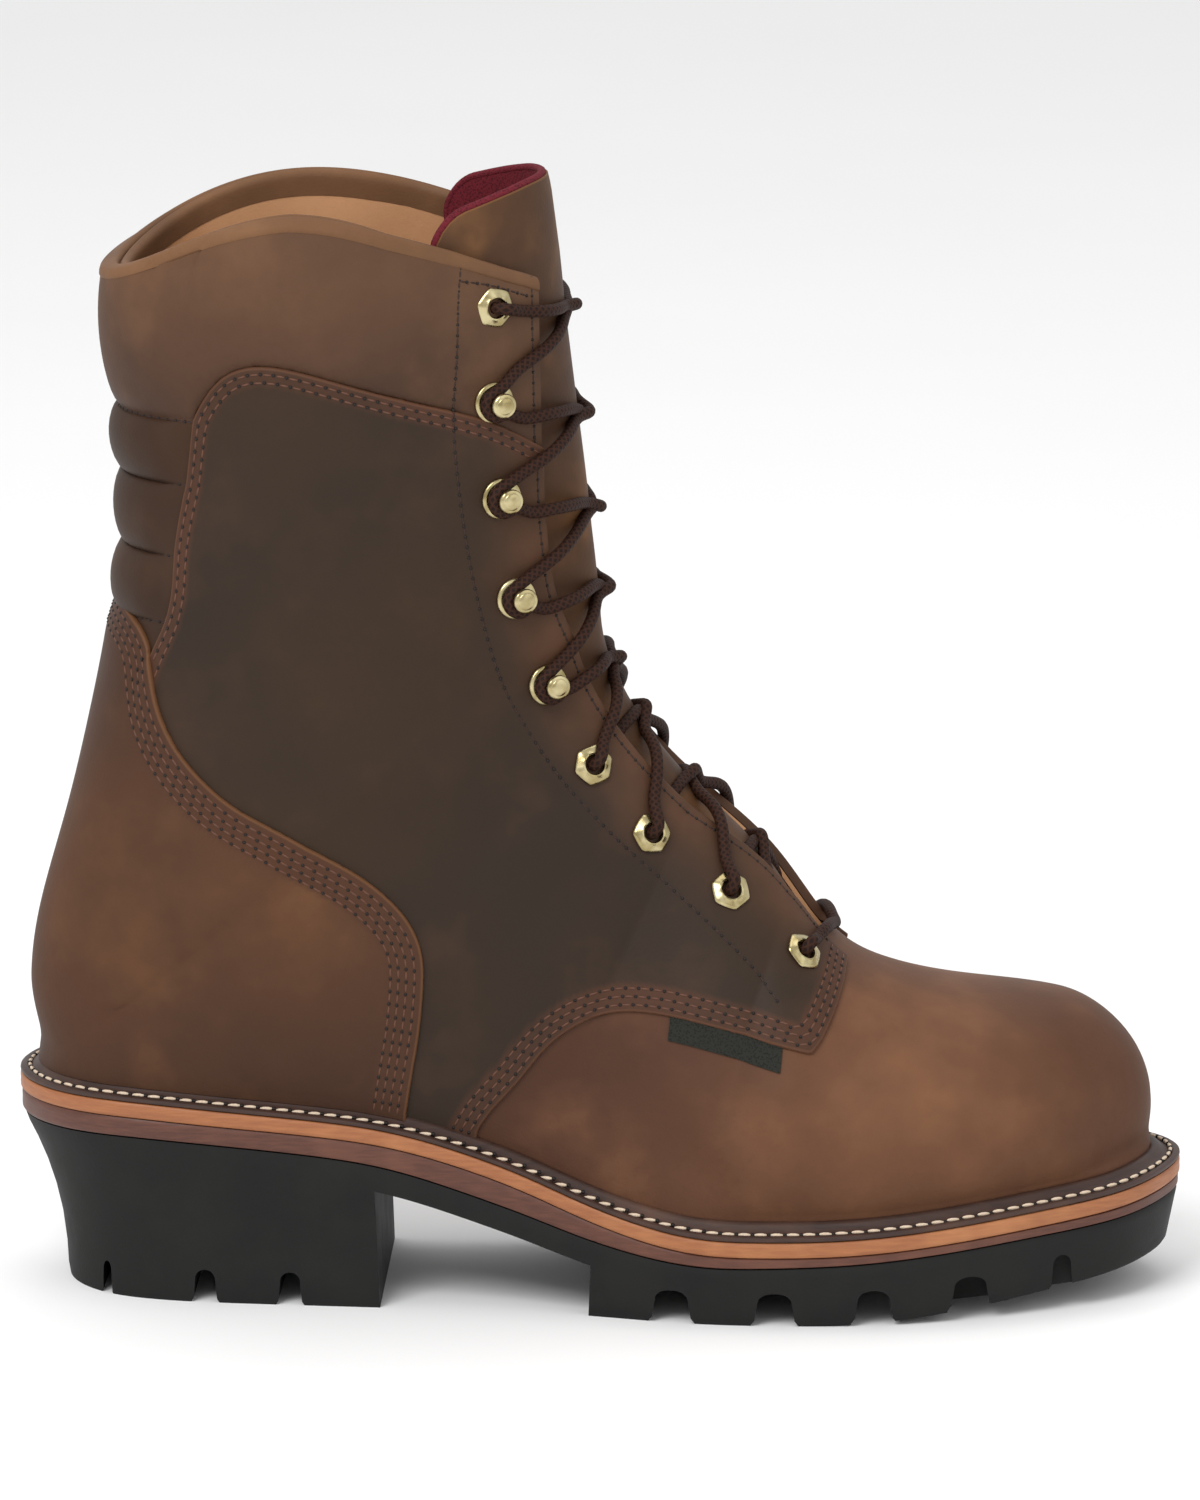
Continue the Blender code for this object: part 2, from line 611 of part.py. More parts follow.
def build_outsole(count):
    """One rubber unit: heel with a concave flare, arch, and a lugged forefoot."""
    rings = []
    for share in (0.0, 0.16, 0.36, 0.62, 1.0):

        def inset(x, share=share):
            heel = 1 - smooth(-0.20, -0.02, x / SOLE_LENGTH)
            back = np.clip((-x / SOLE_LENGTH - 0.17) / 0.33, 0, 1) ** 1.3
            curve = 1 - (1 - share) ** 2.2
            return 0.0006 + heel * HEEL_FLARE * (0.16 + 0.84 * back) * curve + (1 - heel) * LUG_FLARE * share

        flat = outline_ring(count, inset)
        edge = outline_ring(count, 0.0006)
        heights = [rubber_top(x) + (ground(x) - rubber_top(x)) * share for x in edge[:, 0]]
        rings.append([(p[0], p[1], z) for p, z in zip(flat, heights)])
    sole = slab("outsole", rings, RUBBER)
    wide = BALL_WIDTH
    below = -0.02
    arch = [(LUG_START - 0.0015, below), (BREAST_X + 0.002, below)]
    for share in np.linspace(0, 1, 9):
        x = BREAST_X + (LUG_START - BREAST_X) * share
        arch.append((x, rubber_top(x) - ARCH_PLATE))
    bars = [cutter("arch", arch, -wide, wide)]
    for lug in range(LUG_COUNT):
        end = LUG_START + LUG_PITCH * (lug + 1)
        start = end - LUG_GAP
        last = lug == LUG_COUNT - 1
        start = end - LUG_GAP * 0.45 if last else start
        bars.append(cutter("gap", gap_profile(start, end, LUG_DEPTH, below), -wide, wide))
    for groove in range(3):
        middle = BREAST_X - HEEL_PITCH * (groove + 0.92)
        wide_here = HEEL_GROOVE * (0.5 if groove == 2 else 1.0)
        profile = gap_profile(middle - wide_here / 2, middle + wide_here / 2, HEEL_GROOVE_DEPTH, below)
        bars.append(cutter("groove", profile, -wide, wide))
    cut(sole, bars, "cut_treads")
    start, end = LUG_START - 0.004, LUG_START + LUG_PITCH * LUG_COUNT - LUG_GAP
    height = ground((start + end) / 2) + LUG_DEPTH * 0.8
    channel = [(start, below), (start, LUG_DEPTH * 0.8), (end, height), (end, below)]
    cut(sole, [cutter("channel", channel, -CENTRE_CHANNEL / 2, CENTRE_CHANNEL / 2)], "cut_channel")


def gap_profile(start, end, depth, below):
    """A gap with a rounded roof, narrower at the top than at the floor."""
    floor = ground((start + end) / 2)
    middle, half = (start + end) / 2, (end - start) / 2
    roof = half * LUG_GAP_ROOF / LUG_GAP
    return [
        (start, below),
        (start, floor),
        (middle - roof, floor + depth * 0.72),
        (middle - roof * 0.55, floor + depth),
        (middle + roof * 0.55, floor + depth),
        (middle + roof, floor + depth * 0.72),
        (end, floor),
        (end, below),
    ]


# The upper's mesh
SIDE_COLUMNS = 12
STRIP_COLUMNS = 2
MESH_ROWS = [0, 0.7, 1.4, 2, 2.5, 3.1, 3.8, 4.4, 5, 5.7, 6.4, 7.2, 8, 8.6, 9.2, 9.8, 10.4, 11, 11.6, 12.2]
MESH_ROWS += [12.8, 13.4, 14, 14.5, 15, 15.6, 16.2, 17, 17.8, 18.6, 19.4, 20, 20.4, 20.75, 21.05, 21.35]
MESH_ROWS += [21.65, 21.95, 22.25, 22.6, 23, 23.5, 24]


class Sheet:
    """The grid of the upper's surface: vertices with their place, normal and column, and quads."""

    def __init__(self, rows):
        self.rows = rows
        self.places = []
        self.known = {}
        self.quads = []
        halves = {}
        for r, u in enumerate(rows):
            for side in (-1, 1):
                halves[side] = section_half(u, side)
            columns = {}
            for side in (-1, 1):
                points, arc = halves[side]
                edge = min(float(strip_half(u)), 0.45 * arc[-1])
                steps = [edge * k / STRIP_COLUMNS for k in range(STRIP_COLUMNS)]
                steps += [edge + (arc[-1] - edge) * k / SIDE_COLUMNS for k in range(SIDE_COLUMNS + 1)]
                for k, distance in enumerate(steps):
                    columns[side * k] = on_arc(points, arc, distance)
            self.add_row(r, u, columns)
        self.last = STRIP_COLUMNS + SIDE_COLUMNS
        for r in range(len(rows) - 1):
            for k in range(-self.last, self.last):
                if rows[r] >= THROAT_ROW and -STRIP_COLUMNS <= k < STRIP_COLUMNS:
                    continue
                quad = [self.known[r, k], self.known[r, k + 1], self.known[r + 1, k + 1], self.known[r + 1, k]]
                self.quads.append((tuple(dict.fromkeys(quad)), -STRIP_COLUMNS <= k < STRIP_COLUMNS))

    def add_row(self, r, u, columns):
        last = STRIP_COLUMNS + SIDE_COLUMNS
        closed = u <= TIP_ROW or u >= HEEL_ROW
        for k in range(-last, last + 1):
            if u == 0:
                self.known[r, k] = 0
                if k == -last:
                    self.places.append(columns[0])
                continue
            if closed and k == last:
                self.known[r, k] = self.known[r, -last]
                continue
            self.known[r, k] = len(self.places)
            self.places.append(columns[k])


def vertex_normals(places, faces):
    total = np.zeros((len(places), 3))
    points = np.array(places)
    for face in faces:
        ring = points[list(face)]
        area = np.zeros(3)
        for i in range(1, len(ring) - 1):
            area += np.cross(ring[i] - ring[0], ring[i + 1] - ring[0])
        for i in face:
            total[i] += area
    return total / np.maximum(np.linalg.norm(total, axis=1), 1e-12)[:, None]


def split_faces(faces, places, normals, distance):
    """Cut the faces along the zero line of distance(place). Returns faces with whether they lie inside."""
    snap = 0.0011
    value = {}

    def at(i):
        if i not in value:
            d = distance(places[i])
            value[i] = 0.0 if abs(d) < snap else d
        return value[i]

    middles = {}

    def crossing(a, b):
        key = (min(a, b), max(a, b))
        if key not in middles:
            share = at(key[0]) / (at(key[0]) - at(key[1]))
            middles[key] = len(places)
            places.append(places[key[0]] * (1 - share) + places[key[1]] * share)
            normals.append(normals[key[0]] * (1 - share) + normals[key[1]] * share)
            value[middles[key]] = 0.0
        return middles[key]

    result = []
    for face, tags in faces:
        ring = []
        for a, b in zip(face, face[1:] + face[:1]):
            ring.append(a)
            if at(a) * at(b) < 0:
                ring.append(crossing(a, b))
        on_line = [i for i, v in enumerate(ring) if at(v) == 0]
        pieces = [ring]
        if len(on_line) == 2 and (on_line[1] - on_line[0]) not in (1, len(ring) - 1):
            first, second = on_line
            pieces = [ring[first : second + 1], ring[second:] + ring[: first + 1]]
        for piece in pieces:
            total = sum(at(v) for v in piece)
            result.append((tuple(piece), tags + (total < 0,)))
    return result


def build_upper():
    """The upper: outer sheet with stepped panels, skirt behind the welt, inner sheet and rims, as one solid."""
    grid = Sheet(MESH_ROWS)
    places = list(grid.places)
    quads = [face for face, _ in grid.quads]
    facing = vertex_normals(places, quads)
    middle = np.mean(places, axis=0)
    outermost = int(np.argmax([p[1] for p in places]))
    if facing[outermost] @ (places[outermost] - middle) < 0:
        facing = -facing
    normals = list(facing)
    wall_normals = normals[:]
    faces = [(face, (strip,)) for face, strip in grid.quads]
    faces = split_faces(faces, places, normals, lambda p: inside_distance(QUARTER_SHAPE, p[0], p[2]))
    faces = split_faces(faces, places, normals, lambda p: inside_distance(COUNTER_SHAPE, p[0], p[2]))
    levels = (0.0, QUARTER_STEP, QUARTER_STEP + COUNTER_STEP)
    leveled = [(face, 0 if strip else 2 if counter else 1 if quarter else 0) for face, (strip, quarter, counter) in faces]
    vertices, solid = [], []
    copies = {}
    used = {}
    for face, level in leveled:
        for v in face:
            used.setdefault(v, set()).add(level)
    base = {grid.known[r, k] for r, u in enumerate(MESH_ROWS) for k in (-grid.last, grid.last) if TIP_ROW <= u <= HEEL_ROW}
    for v in base:
        used[v].add(0)

    def copy(v, level):
        if (v, level) not in copies:
            copies[v, level] = len(vertices)
            lift = levels[level] + (0 if v in base else swelling(places[v]))
            away = normals[v]
            if v in base:
                away = flat(away)
            vertices.append(places[v] + away * lift)
        return copies[v, level]

    def ladder(v, start, end):
        """Copies of a vertex from one level to another, with any level between that is in use there."""
        step = 1 if end >= start else -1
        return [copy(v, n) for n in range(start, end + step, step) if n in (start, end) or n in used[v]]

    beside = {}
    for face, level in leveled:
        solid.append([copy(v, level) for v in face])
        for a, b in zip(face, face[1:] + face[:1]):
            beside[a, b] = level
    border = {}
    for (a, b), level in beside.items():
        other = beside.get((b, a))
        if other is None:
            border[a] = (b, level)
        elif level > other:
            solid.append(list(dict.fromkeys(ladder(a, level, other) + ladder(b, other, level))))
    inner = add_inner_sheet(grid, places, wall_normals, base, vertices, solid)
    for loop in border_loops(border):
        if loop[0][0] in base:
            add_skirt(loop, places, inner, ladder, vertices, solid)
        else:
            add_rim(loop, inner, ladder, solid)
    cut_eyelet_holes(new_object("upper", vertices, solid, LEATHER))


def flat(direction):
    level = np.array([direction[0], direction[1], 0.0])
    return level / np.linalg.norm(level)


def add_inner_sheet(grid, places, normals, base, vertices, solid):
    """The inner face of the wall, with every row round the foot and every second row up the shaft."""
    rows = [r for r, u in enumerate(MESH_ROWS) if u < HEEL_ROW + 1 or u == TOP_ROW or r % 2 == 0]
    inner = {}

    def inside(v):
        if v not in inner:
            inner[v] = len(vertices)
            away = flat(normals[v]) if v in base else normals[v]
            vertices.append(places[v] - away * wall_at(places[v]))
        return inner[v]

    for r, s in zip(rows, rows[1:]):
        for k in range(-grid.last, grid.last):
            if MESH_ROWS[r] >= THROAT_ROW and -STRIP_COLUMNS <= k < STRIP_COLUMNS:
                continue
            quad = [grid.known[r, k], grid.known[s, k], grid.known[s, k + 1], grid.known[r, k + 1]]
            solid.append([inside(v) for v in dict.fromkeys(quad)])
    return inner


def border_loops(border):
    """The open edges of the outer sheet as closed loops of (vertex, level of the edge that leaves it)."""
    left = dict(border)
    loops = []
    while left:
        start = next(iter(left))
        loop, v = [], start
        while v in left:
            after, level = left.pop(v)
            loop.append((v, level))
            v = after
        loops.append(loop)
    return loops


def from_anchor(loop, inner):
    """The loop turned to start at a vertex that the inner sheet has too, and closed on it."""
    first = next(i for i, (v, _) in enumerate(loop) if v in inner)
    turned = loop[first:] + loop[:first]
    return turned + turned[:1]


def add_rim(loop, inner, ladder, solid):
    """The edge of the wall round the collar, the facings and the throat."""
    turned = from_anchor(loop, inner)
    chain, anchor = [], None
    previous = turned[-2][1]
    for v, level in turned:
        steps = ladder(v, previous, level)
        last = steps if level < previous else steps[:1]
        if v in inner and anchor is not None:
            solid.append(chain + last + [inner[v], inner[anchor]])
        if v in inner:
            anchor = v
            chain = steps[-1:] if level < previous else steps
        else:
            chain = chain + steps
        previous = level


def add_skirt(loop, places, inner, ladder, vertices, solid):
    """The wall's foot behind the welt: ledges under the panels, a skirt down to the midsole, and its underside."""
    turned = from_anchor(loop, inner)
    low, deep = {}, {}

    def down(v, store, top):
        if v not in store:
            store[v] = len(vertices)
            x, y, _ = vertices[top]
            vertices.append(np.array([x, y, deck(places[v][0]) + GAP]))
        return store[v]

    chain, anchor = [], None
    for (a, level), (b, _) in zip(turned, turned[1:]):
        top_a, top_b = ladder(a, 0, 0)[0], ladder(b, 0, 0)[0]
        if level:
            solid.append(ladder(a, 0, level) + ladder(b, level, 0))
        solid.append([top_a, top_b, down(b, low, top_b), down(a, low, top_a)])
        if a in inner:
            chain, anchor = [low[a]], a
        chain.append(low[b])
        if b in inner:
            deep_a, deep_b = down(anchor, deep, inner[anchor]), down(b, deep, inner[b])
            solid.append(chain + [deep_b, deep_a])
            solid.append([deep_a, deep_b, inner[b], inner[anchor]])


# Hardware
def stop_frame(stop, side, lift=0.0):
    """Matrix at a lace stop: local z out of the leather, local x towards the facing's edge."""
    reach = float(strip_half(stop.section)) + stop.reach * FACING_MARGIN
    place, normal = on_front(stop.section, side, reach)
    ahead, _ = on_front(stop.section, side, reach - 0.004)
    out = Vector(normal)
    along = Vector(ahead - place)
    along = (along - out * along.dot(out)).normalized()
    frame = Matrix((along, out.cross(along), out)).transposed().to_4x4()
    frame.translation = Vector(place) + out * (QUARTER_STEP * stop.step + lift)
    return frame


def turned_piece(name, profile, frame, look, hollow, lean=0.0):
    """A piece turned from (radius, height) rows. hollow closes it round a bore, lean bends it towards local x."""
    sides = 8
    top = max(height for _, height in profile)
    vertices = []
    for radius, height in profile:
        shift = lean * (max(height, 0) / top) ** 1.5
        for i in range(sides):
            angle = 2 * math.pi * (i + 0.5) / sides
            vertices.append(frame @ Vector((shift + radius * math.cos(angle), radius * math.sin(angle), height)))
    faces = []
    levels = len(profile)
    for level in range(levels if hollow else levels - 1):
        a, b = level * sides, (level + 1) % levels * sides
        faces += [(a + i, a + (i + 1) % sides, b + (i + 1) % sides, b + i) for i in range(sides)]
    if not hollow:
        faces += [tuple(range(sides)), tuple(range((levels - 1) * sides, levels * sides))]
    return new_object(name, vertices, faces, look)


def build_hardware():
    for row, stop in enumerate(STOPS, 1):
        for side, hand in ((-1, "outer"), (1, "inner")):
            frame = stop_frame(stop, side, HARDWARE_GAP)
            if stop.kind == "eyelet":
                end = -WALL - QUARTER_STEP * stop.step - HARDWARE_GAP
                profile = [
                    (EYELET_BORE, EYELET_RIM),
                    (EYELET_RADIUS * 0.82, EYELET_RIM),
                    (EYELET_RADIUS, 0.0),
                    (EYELET_BARREL, 0.0),
                    (EYELET_BARREL, end),
                    (EYELET_BORE, end),
                ]
                turned_piece(f"eyelet_{row}_{hand}", profile, frame, BRASS, True)
            else:
                profile = [
                    (HOOK_BASE_RADIUS, 0.0),
                    (HOOK_BASE_RADIUS * 0.85, EYELET_RIM),
                    (HOOK_NECK, EYELET_RIM * 1.2),
                    (HOOK_NECK, HOOK_REACH * 0.60),
                    (HOOK_HEAD_RADIUS, HOOK_REACH * 0.68),
                    (HOOK_HEAD_RADIUS, HOOK_REACH * 0.92),
                    (HOOK_HEAD_RADIUS * 0.7, HOOK_REACH),
                ]
                turned_piece(f"hook_{row}_{hand}", profile, frame, BRASS, False, HOOK_LEAN)


def cut_eyelet_holes(upper):
    """Holes through the facings for the eyelets' barrels."""
    sides = 8
    bars = []
    for stop in STOPS:
        if stop.kind != "eyelet":
            continue
        for side in (-1, 1):
            frame = stop_frame(stop, side)
            points = []
            for height in (-0.009, 0.006):
                for i in range(sides):
                    angle = 2 * math.pi * (i + 0.5) / sides
                    radius = EYELET_BARREL + GAP
                    points.append(frame @ Vector((radius * math.cos(angle), radius * math.sin(angle), height)))
            faces = [tuple(range(sides)), tuple(range(sides, 2 * sides))]
            faces += [(i, (i + 1) % sides, sides + (i + 1) % sides, sides + i) for i in range(sides)]
            bars.append((points, faces))
    cut(upper, bars, "cut_eyelets")


# Tongue, label and lace
TongueRow = namedtuple("TongueRow", "section half")
TONGUE_ROWS = [
    TongueRow(6.90, 0.190),
    TongueRow(7.60, 0.235),
    TongueRow(8.30, 0.275),
    TongueRow(9.00, 0.305),
    TongueRow(9.80, 0.330),
    TongueRow(10.60, 0.355),
    TongueRow(11.50, 0.380),
    TongueRow(12.80, 0.405),
    TongueRow(14.60, 0.430),
    TongueRow(16.20, 0.460),
    TongueRow(17.80, 0.490),
    TongueRow(19.40, 0.520),
    TongueRow(20.80, 0.550),
    TongueRow(22.00, 0.580),
    TongueRow(23.00, 0.605),
    TongueRow(24.00, 0.630),
]


def build_tongue():
    """A curved leather sheet under the facings, rising above the collar."""
    columns = 4
    outer, inner = [], []
    for row in TONGUE_ROWS:
        half = row.half * SHAFT_WIDTH
        for k in range(-columns, columns + 1):
            side = -1 if k < 0 else 1
            place, normal = on_front(row.section, side, max(abs(k) / columns * half, 1e-5))
            outer.append(place - normal * (WALL + TONGUE_GAP))
            inner.append(place - normal * (WALL + TONGUE_GAP + TONGUE_WALL))
    wide = 2 * columns + 1
    for share in (0.5, 1.0):
        for sheet in (outer, inner):
            row = sheet[(len(TONGUE_ROWS) - 1) * wide : len(TONGUE_ROWS) * wide]
            for k, place in zip(range(-columns, columns + 1), row):
                rise = share * TONGUE_RISE * (1 - 0.8 * (k / columns) ** 2)
                sheet.append(np.array(place) + np.array([-0.13 * rise, 0, rise]))
    rows = len(outer) // wide
    faces = []
    for r in range(rows - 1):
        for k in range(wide - 1):
            a = r * wide + k
            quad = (a, a + 1, a + wide + 1, a + wide)
            faces.append(quad)
            faces.append(tuple(i + len(outer) for i in quad))
    rim = list(range(wide)) + [r * wide + wide - 1 for r in range(1, rows)]
    rim += [(rows - 1) * wide + k for k in range(wide - 2, -1, -1)] + [r * wide for r in range(rows - 2, 0, -1)]
    for a, b in zip(rim, rim[1:] + rim[:1]):
        faces.append((a, b, b + len(outer), a + len(outer)))
    new_object("tongue", outer + inner, faces, TONGUE_LEATHER)


def surface_at(x, z):
    """Point and outward normal of the lateral surface at a side-view place, by a search over the sections."""
    best = None
    for u in np.arange(6.0, 12.0, 0.1):
        points, arc = section_half(u, -1, 60)
        away = np.hypot(points[:, 0] - x, points[:, 2] - z)
        away[: len(away) // 3] += 1
        i = int(np.argmin(away))
        if best is None or away[i] < best[0]:
            best = (away[i], u, arc[i])
    return on_front(best[1], -1, best[2])


def build_label():
    """A small bare woven label, caught in the seam between quarter and vamp on the outer side."""
    along = 5
    length, drop = 0.030, 0.0062
    start = Edge(0.064, 0.088)
    near, far = [], []
    for k in range(along + 1):
        x = start.x * SOLE_LENGTH + length * k / along
        top = HEEL_DECK + start.up * SHAFT_HEIGHT - 0.21 * length * k / along
        for z in (top, top - drop):
            place, normal = surface_at(x, z)
            near.append(place + normal * LABEL_GAP)
            far.append(place + normal * (LABEL_GAP + LABEL_WALL))
    count = len(near)
    faces = []
    for k in range(along):
        a = 2 * k
        faces += [(a, a + 1, a + 3, a + 2), (a + count, a + 1 + count, a + 3 + count, a + 2 + count)]
        faces += [(a, a + 2, a + 2 + count, a + count), (a + 1, a + 3, a + 3 + count, a + 1 + count)]
    faces += [(0, 1, 1 + count, count), (count - 2, count - 1, 2 * count - 1, 2 * count - 2)]
    new_object("seam_label", near + far, faces, LABEL)


def tube(path, radius, sides=5):
    """Vertices and faces of a capped tube along a path."""
    vertices, faces = [], []
    path = [Vector(p) for p in path]
    for i, point in enumerate(path):
        ahead = (path[min(i + 1, len(path) - 1)] - path[max(i - 1, 0)]).normalized()
        across = ahead.cross(Vector((0.31, 0.12, 0.94))).normalized()
        other = ahead.cross(across)
        for s in range(sides):
            angle = 2 * math.pi * s / sides
            vertices.append(point + (across * math.cos(angle) + other * math.sin(angle)) * radius)
    for i in range(len(path) - 1):
        a, b = i * sides, (i + 1) * sides
        faces += [(a + s, a + (s + 1) % sides, b + (s + 1) % sides, b + s) for s in range(sides)]
    faces += [tuple(range(sides)), tuple(range(len(vertices) - sides, len(vertices)))]
    return vertices, faces


def row_spacing(u):
    low, _ = on_front(u - 0.05, -1, strip_half(u))
    high, _ = on_front(u + 0.05, -1, strip_half(u))
    return float(np.linalg.norm(high - low)) / 0.1


def strand(start, end, side):
    """Centre line of a lace from beside one stop, over the tongue, to beside a stop on the other side."""
    shift_a = 1.45 * LACE_RADIUS / row_spacing(start.section)
    shift_b = 1.45 * LACE_RADIUS / row_spacing(end.section)
    same = start is end
    from_u = start.section + (-shift_a if same else shift_a)
    to_u = end.section - shift_b
    clear = EYELET_RADIUS + GAP + LACE_RADIUS
    from_d = -(float(strip_half(start.section)) + start.reach * FACING_MARGIN - clear)
    to_d = float(strip_half(end.section)) + end.reach * FACING_MARGIN - clear
    path = []
    for share in np.linspace(0, 1, 7):
        u = from_u + (to_u - from_u) * share
        away = from_d + (to_d - from_d) * share
        place, normal = on_front(u, side * (1 if away > 0 else -1), max(abs(away), 1e-5))
        step = start.step + (end.step - start.step) * smooth(0.3, 0.6, share)
        path.append(place + normal * (QUARTER_STEP * step + 1.5 * GAP + LACE_RADIUS))
    return path


def build_lace():
    bar = tube(strand(STOPS[0], STOPS[0], 1), LACE_RADIUS)
    new_object("lace_bar", *bar, CORD)
    for row, (low, high) in enumerate(zip(STOPS, STOPS[1:]), 1):
        crossing = new_object(f"lace_crossing_{row}", *tube(strand(low, high, 1), LACE_RADIUS), CORD)
        other = new_object(f"cut_lace_{row}", *tube(strand(low, high, -1), LACE_RADIUS), CORD)
        other.hide_render = True
        other.display_type = "WIRE"
        other.hide_set(True)
        join = crossing.modifiers.new("join", "BOOLEAN")
        join.operation = "UNION"
        join.solver = "EXACT"
        join.object = other


def main():
    clear_scene()
    build_sole()
    build_upper()
    build_tongue()
    build_hardware()
    build_label()
    build_lace()


def clear_scene():
    for obj in list(bpy.data.objects):
        bpy.data.objects.remove(obj)


main()
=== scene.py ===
# Logger boot, right foot: its leather, lining, stitches, sole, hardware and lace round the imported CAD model.
# Metres, +Z up, toe towards +X, outer side towards -Y, floor at Z = 0.
import json
import math
from collections import namedtuple

import bmesh
import bpy
import numpy as np
from mathutils import Matrix, Vector
from mathutils.bvhtree import BVHTree
from mathutils.kdtree import KDTree

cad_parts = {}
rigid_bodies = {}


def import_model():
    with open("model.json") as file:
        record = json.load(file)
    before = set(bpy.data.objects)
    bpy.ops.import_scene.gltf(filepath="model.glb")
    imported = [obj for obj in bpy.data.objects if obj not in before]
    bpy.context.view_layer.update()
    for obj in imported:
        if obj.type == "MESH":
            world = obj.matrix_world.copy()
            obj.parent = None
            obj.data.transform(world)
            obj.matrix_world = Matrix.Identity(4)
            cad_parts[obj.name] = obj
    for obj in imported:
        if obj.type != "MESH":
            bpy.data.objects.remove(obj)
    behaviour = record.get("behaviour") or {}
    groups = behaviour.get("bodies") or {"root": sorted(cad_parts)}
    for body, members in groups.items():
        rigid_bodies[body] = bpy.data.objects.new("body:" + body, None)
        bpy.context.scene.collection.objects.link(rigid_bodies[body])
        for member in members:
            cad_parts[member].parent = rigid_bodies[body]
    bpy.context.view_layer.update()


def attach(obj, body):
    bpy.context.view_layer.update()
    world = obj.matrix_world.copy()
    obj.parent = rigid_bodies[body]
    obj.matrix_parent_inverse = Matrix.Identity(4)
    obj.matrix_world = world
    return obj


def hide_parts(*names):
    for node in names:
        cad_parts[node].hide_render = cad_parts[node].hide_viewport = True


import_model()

MM = 0.001

# Driving dimensions of the last and the sole, as in the CAD
SOLE_LENGTH = 0.314
BALL_WIDTH = 0.108
HEEL_WIDTH = 0.077
HEEL_DECK = 0.0565
FORE_DECK = 0.0236
TOE_SPRING = 0.0100
SHAFT_HEIGHT = 0.2250
SHAFT_WIDTH = 0.086
INSTEP_HEIGHT = 0.0780
TONGUE_RISE = 0.0215
COLLAR_BOW = 0.0165
HALF_GAP = 0.0255

# Walls and layers
WALL = 2.6 * MM
COLLAR_WALL = 5.2 * MM
LEATHER_THICK = 1.2 * MM
WELT_MARGIN = 7.5 * MM
WELT_LIP = 4.0 * MM
MIDSOLE = 4.0 * MM
FORE_SLIP = 2.8 * MM
HEEL_SLIP = 5.4 * MM
INSOLE = 4.5 * MM
TONGUE_GAP = 1.1 * MM
TONGUE_WALL = 3.4 * MM
LEDGE_GAP = 0.9 * MM
GAP = 0.4 * MM
QUARTER_STEP = 1.3 * MM
COUNTER_STEP = 1.3 * MM
COLLAR_PUFF = 3.6 * MM
RIB_PUFF = 3.4 * MM
UNDERLAP = 6.0 * MM
EDGE_ROUND = 0.7 * MM

# Outsole
LUG_DEPTH = 9.5 * MM
LUG_PITCH = 26.3 * MM
LUG_GAP = 12.2 * MM
LUG_START = -1.0 * MM
LUG_COUNT = 5
CENTRE_CHANNEL = 7.0 * MM
ARCH_PLATE = 6.8 * MM
BREAST_X = -0.0590
RUBBER_INSET = 0.0006
HEEL_GROOVE_DEPTH = 9.2 * MM
HEEL_FLARE = 11.8 * MM
LUG_FLARE = 3.0 * MM

# Hardware and lace, which is thinner here than its stand-ins in the CAD and rounds a hook's neck at HOOK_RING
HARDWARE_GAP = 0.25 * MM
HOOK_LEAN = 0.6 * MM
FACING_MARGIN = 13.0 * MM
LACE_RADIUS = 1.65 * MM
HOOK_RING = 1.75 * MM + LACE_RADIUS

# Sole outline from above: x as a share of the length, half widths as shares of the local width
Plan = namedtuple("Plan", "x lateral medial fore")
PLAN = [
    Plan(-0.4915, 0.170, 0.170, 0.0),
    Plan(-0.4690, 0.318, 0.318, 0.0),
    Plan(-0.4330, 0.432, 0.432, 0.0),
    Plan(-0.3800, 0.494, 0.494, 0.0),
    Plan(-0.3000, 0.506, 0.500, 0.0),
    Plan(-0.1900, 0.504, 0.478, 0.0),
    Plan(-0.0950, 0.470, 0.428, 0.3),
    Plan(0.0000, 0.468, 0.412, 0.7),
    Plan(0.0850, 0.486, 0.452, 1.0),
    Plan(0.1650, 0.500, 0.492, 1.0),
    Plan(0.2450, 0.488, 0.500, 1.0),
    Plan(0.3250, 0.432, 0.472, 1.0),
    Plan(0.3950, 0.342, 0.402, 1.0),
    Plan(0.4500, 0.246, 0.320, 1.0),
    Plan(0.4830, 0.122, 0.210, 1.0),
]
TOE_SWING = 0.040

# Deck, the top of the midsole: shares of the heel's rise and of the toe spring
Deck = namedtuple("Deck", "x heel toe")
DECK = [
    Deck(-0.500, 1.000, 0.00),
    Deck(-0.400, 0.995, 0.00),
    Deck(-0.320, 0.935, 0.00),
    Deck(-0.250, 0.870, 0.00),
    Deck(-0.180, 0.780, 0.00),
    Deck(-0.110, 0.605, 0.00),
    Deck(-0.060, 0.440, 0.00),
    Deck(-0.010, 0.250, 0.00),
    Deck(0.040, 0.100, 0.00),
    Deck(0.090, 0.015, 0.00),
    Deck(0.140, 0.000, 0.00),
    Deck(0.210, 0.000, 0.06),
    Deck(0.280, 0.000, 0.24),
    Deck(0.350, 0.000, 0.47),
    Deck(0.430, 0.000, 0.72),
    Deck(0.500, 0.000, 1.00),
]

# Thickness of the slip sole: share of what the heel has over the forefoot
Slip = namedtuple("Slip", "x share")
SLIP = [
    Slip(-0.500, 1.00),
    Slip(-0.180, 1.05),
    Slip(-0.090, 1.30),
    Slip(-0.020, 0.90),
    Slip(0.050, 0.30),
    Slip(0.110, 0.00),
    Slip(0.500, 0.00),
]

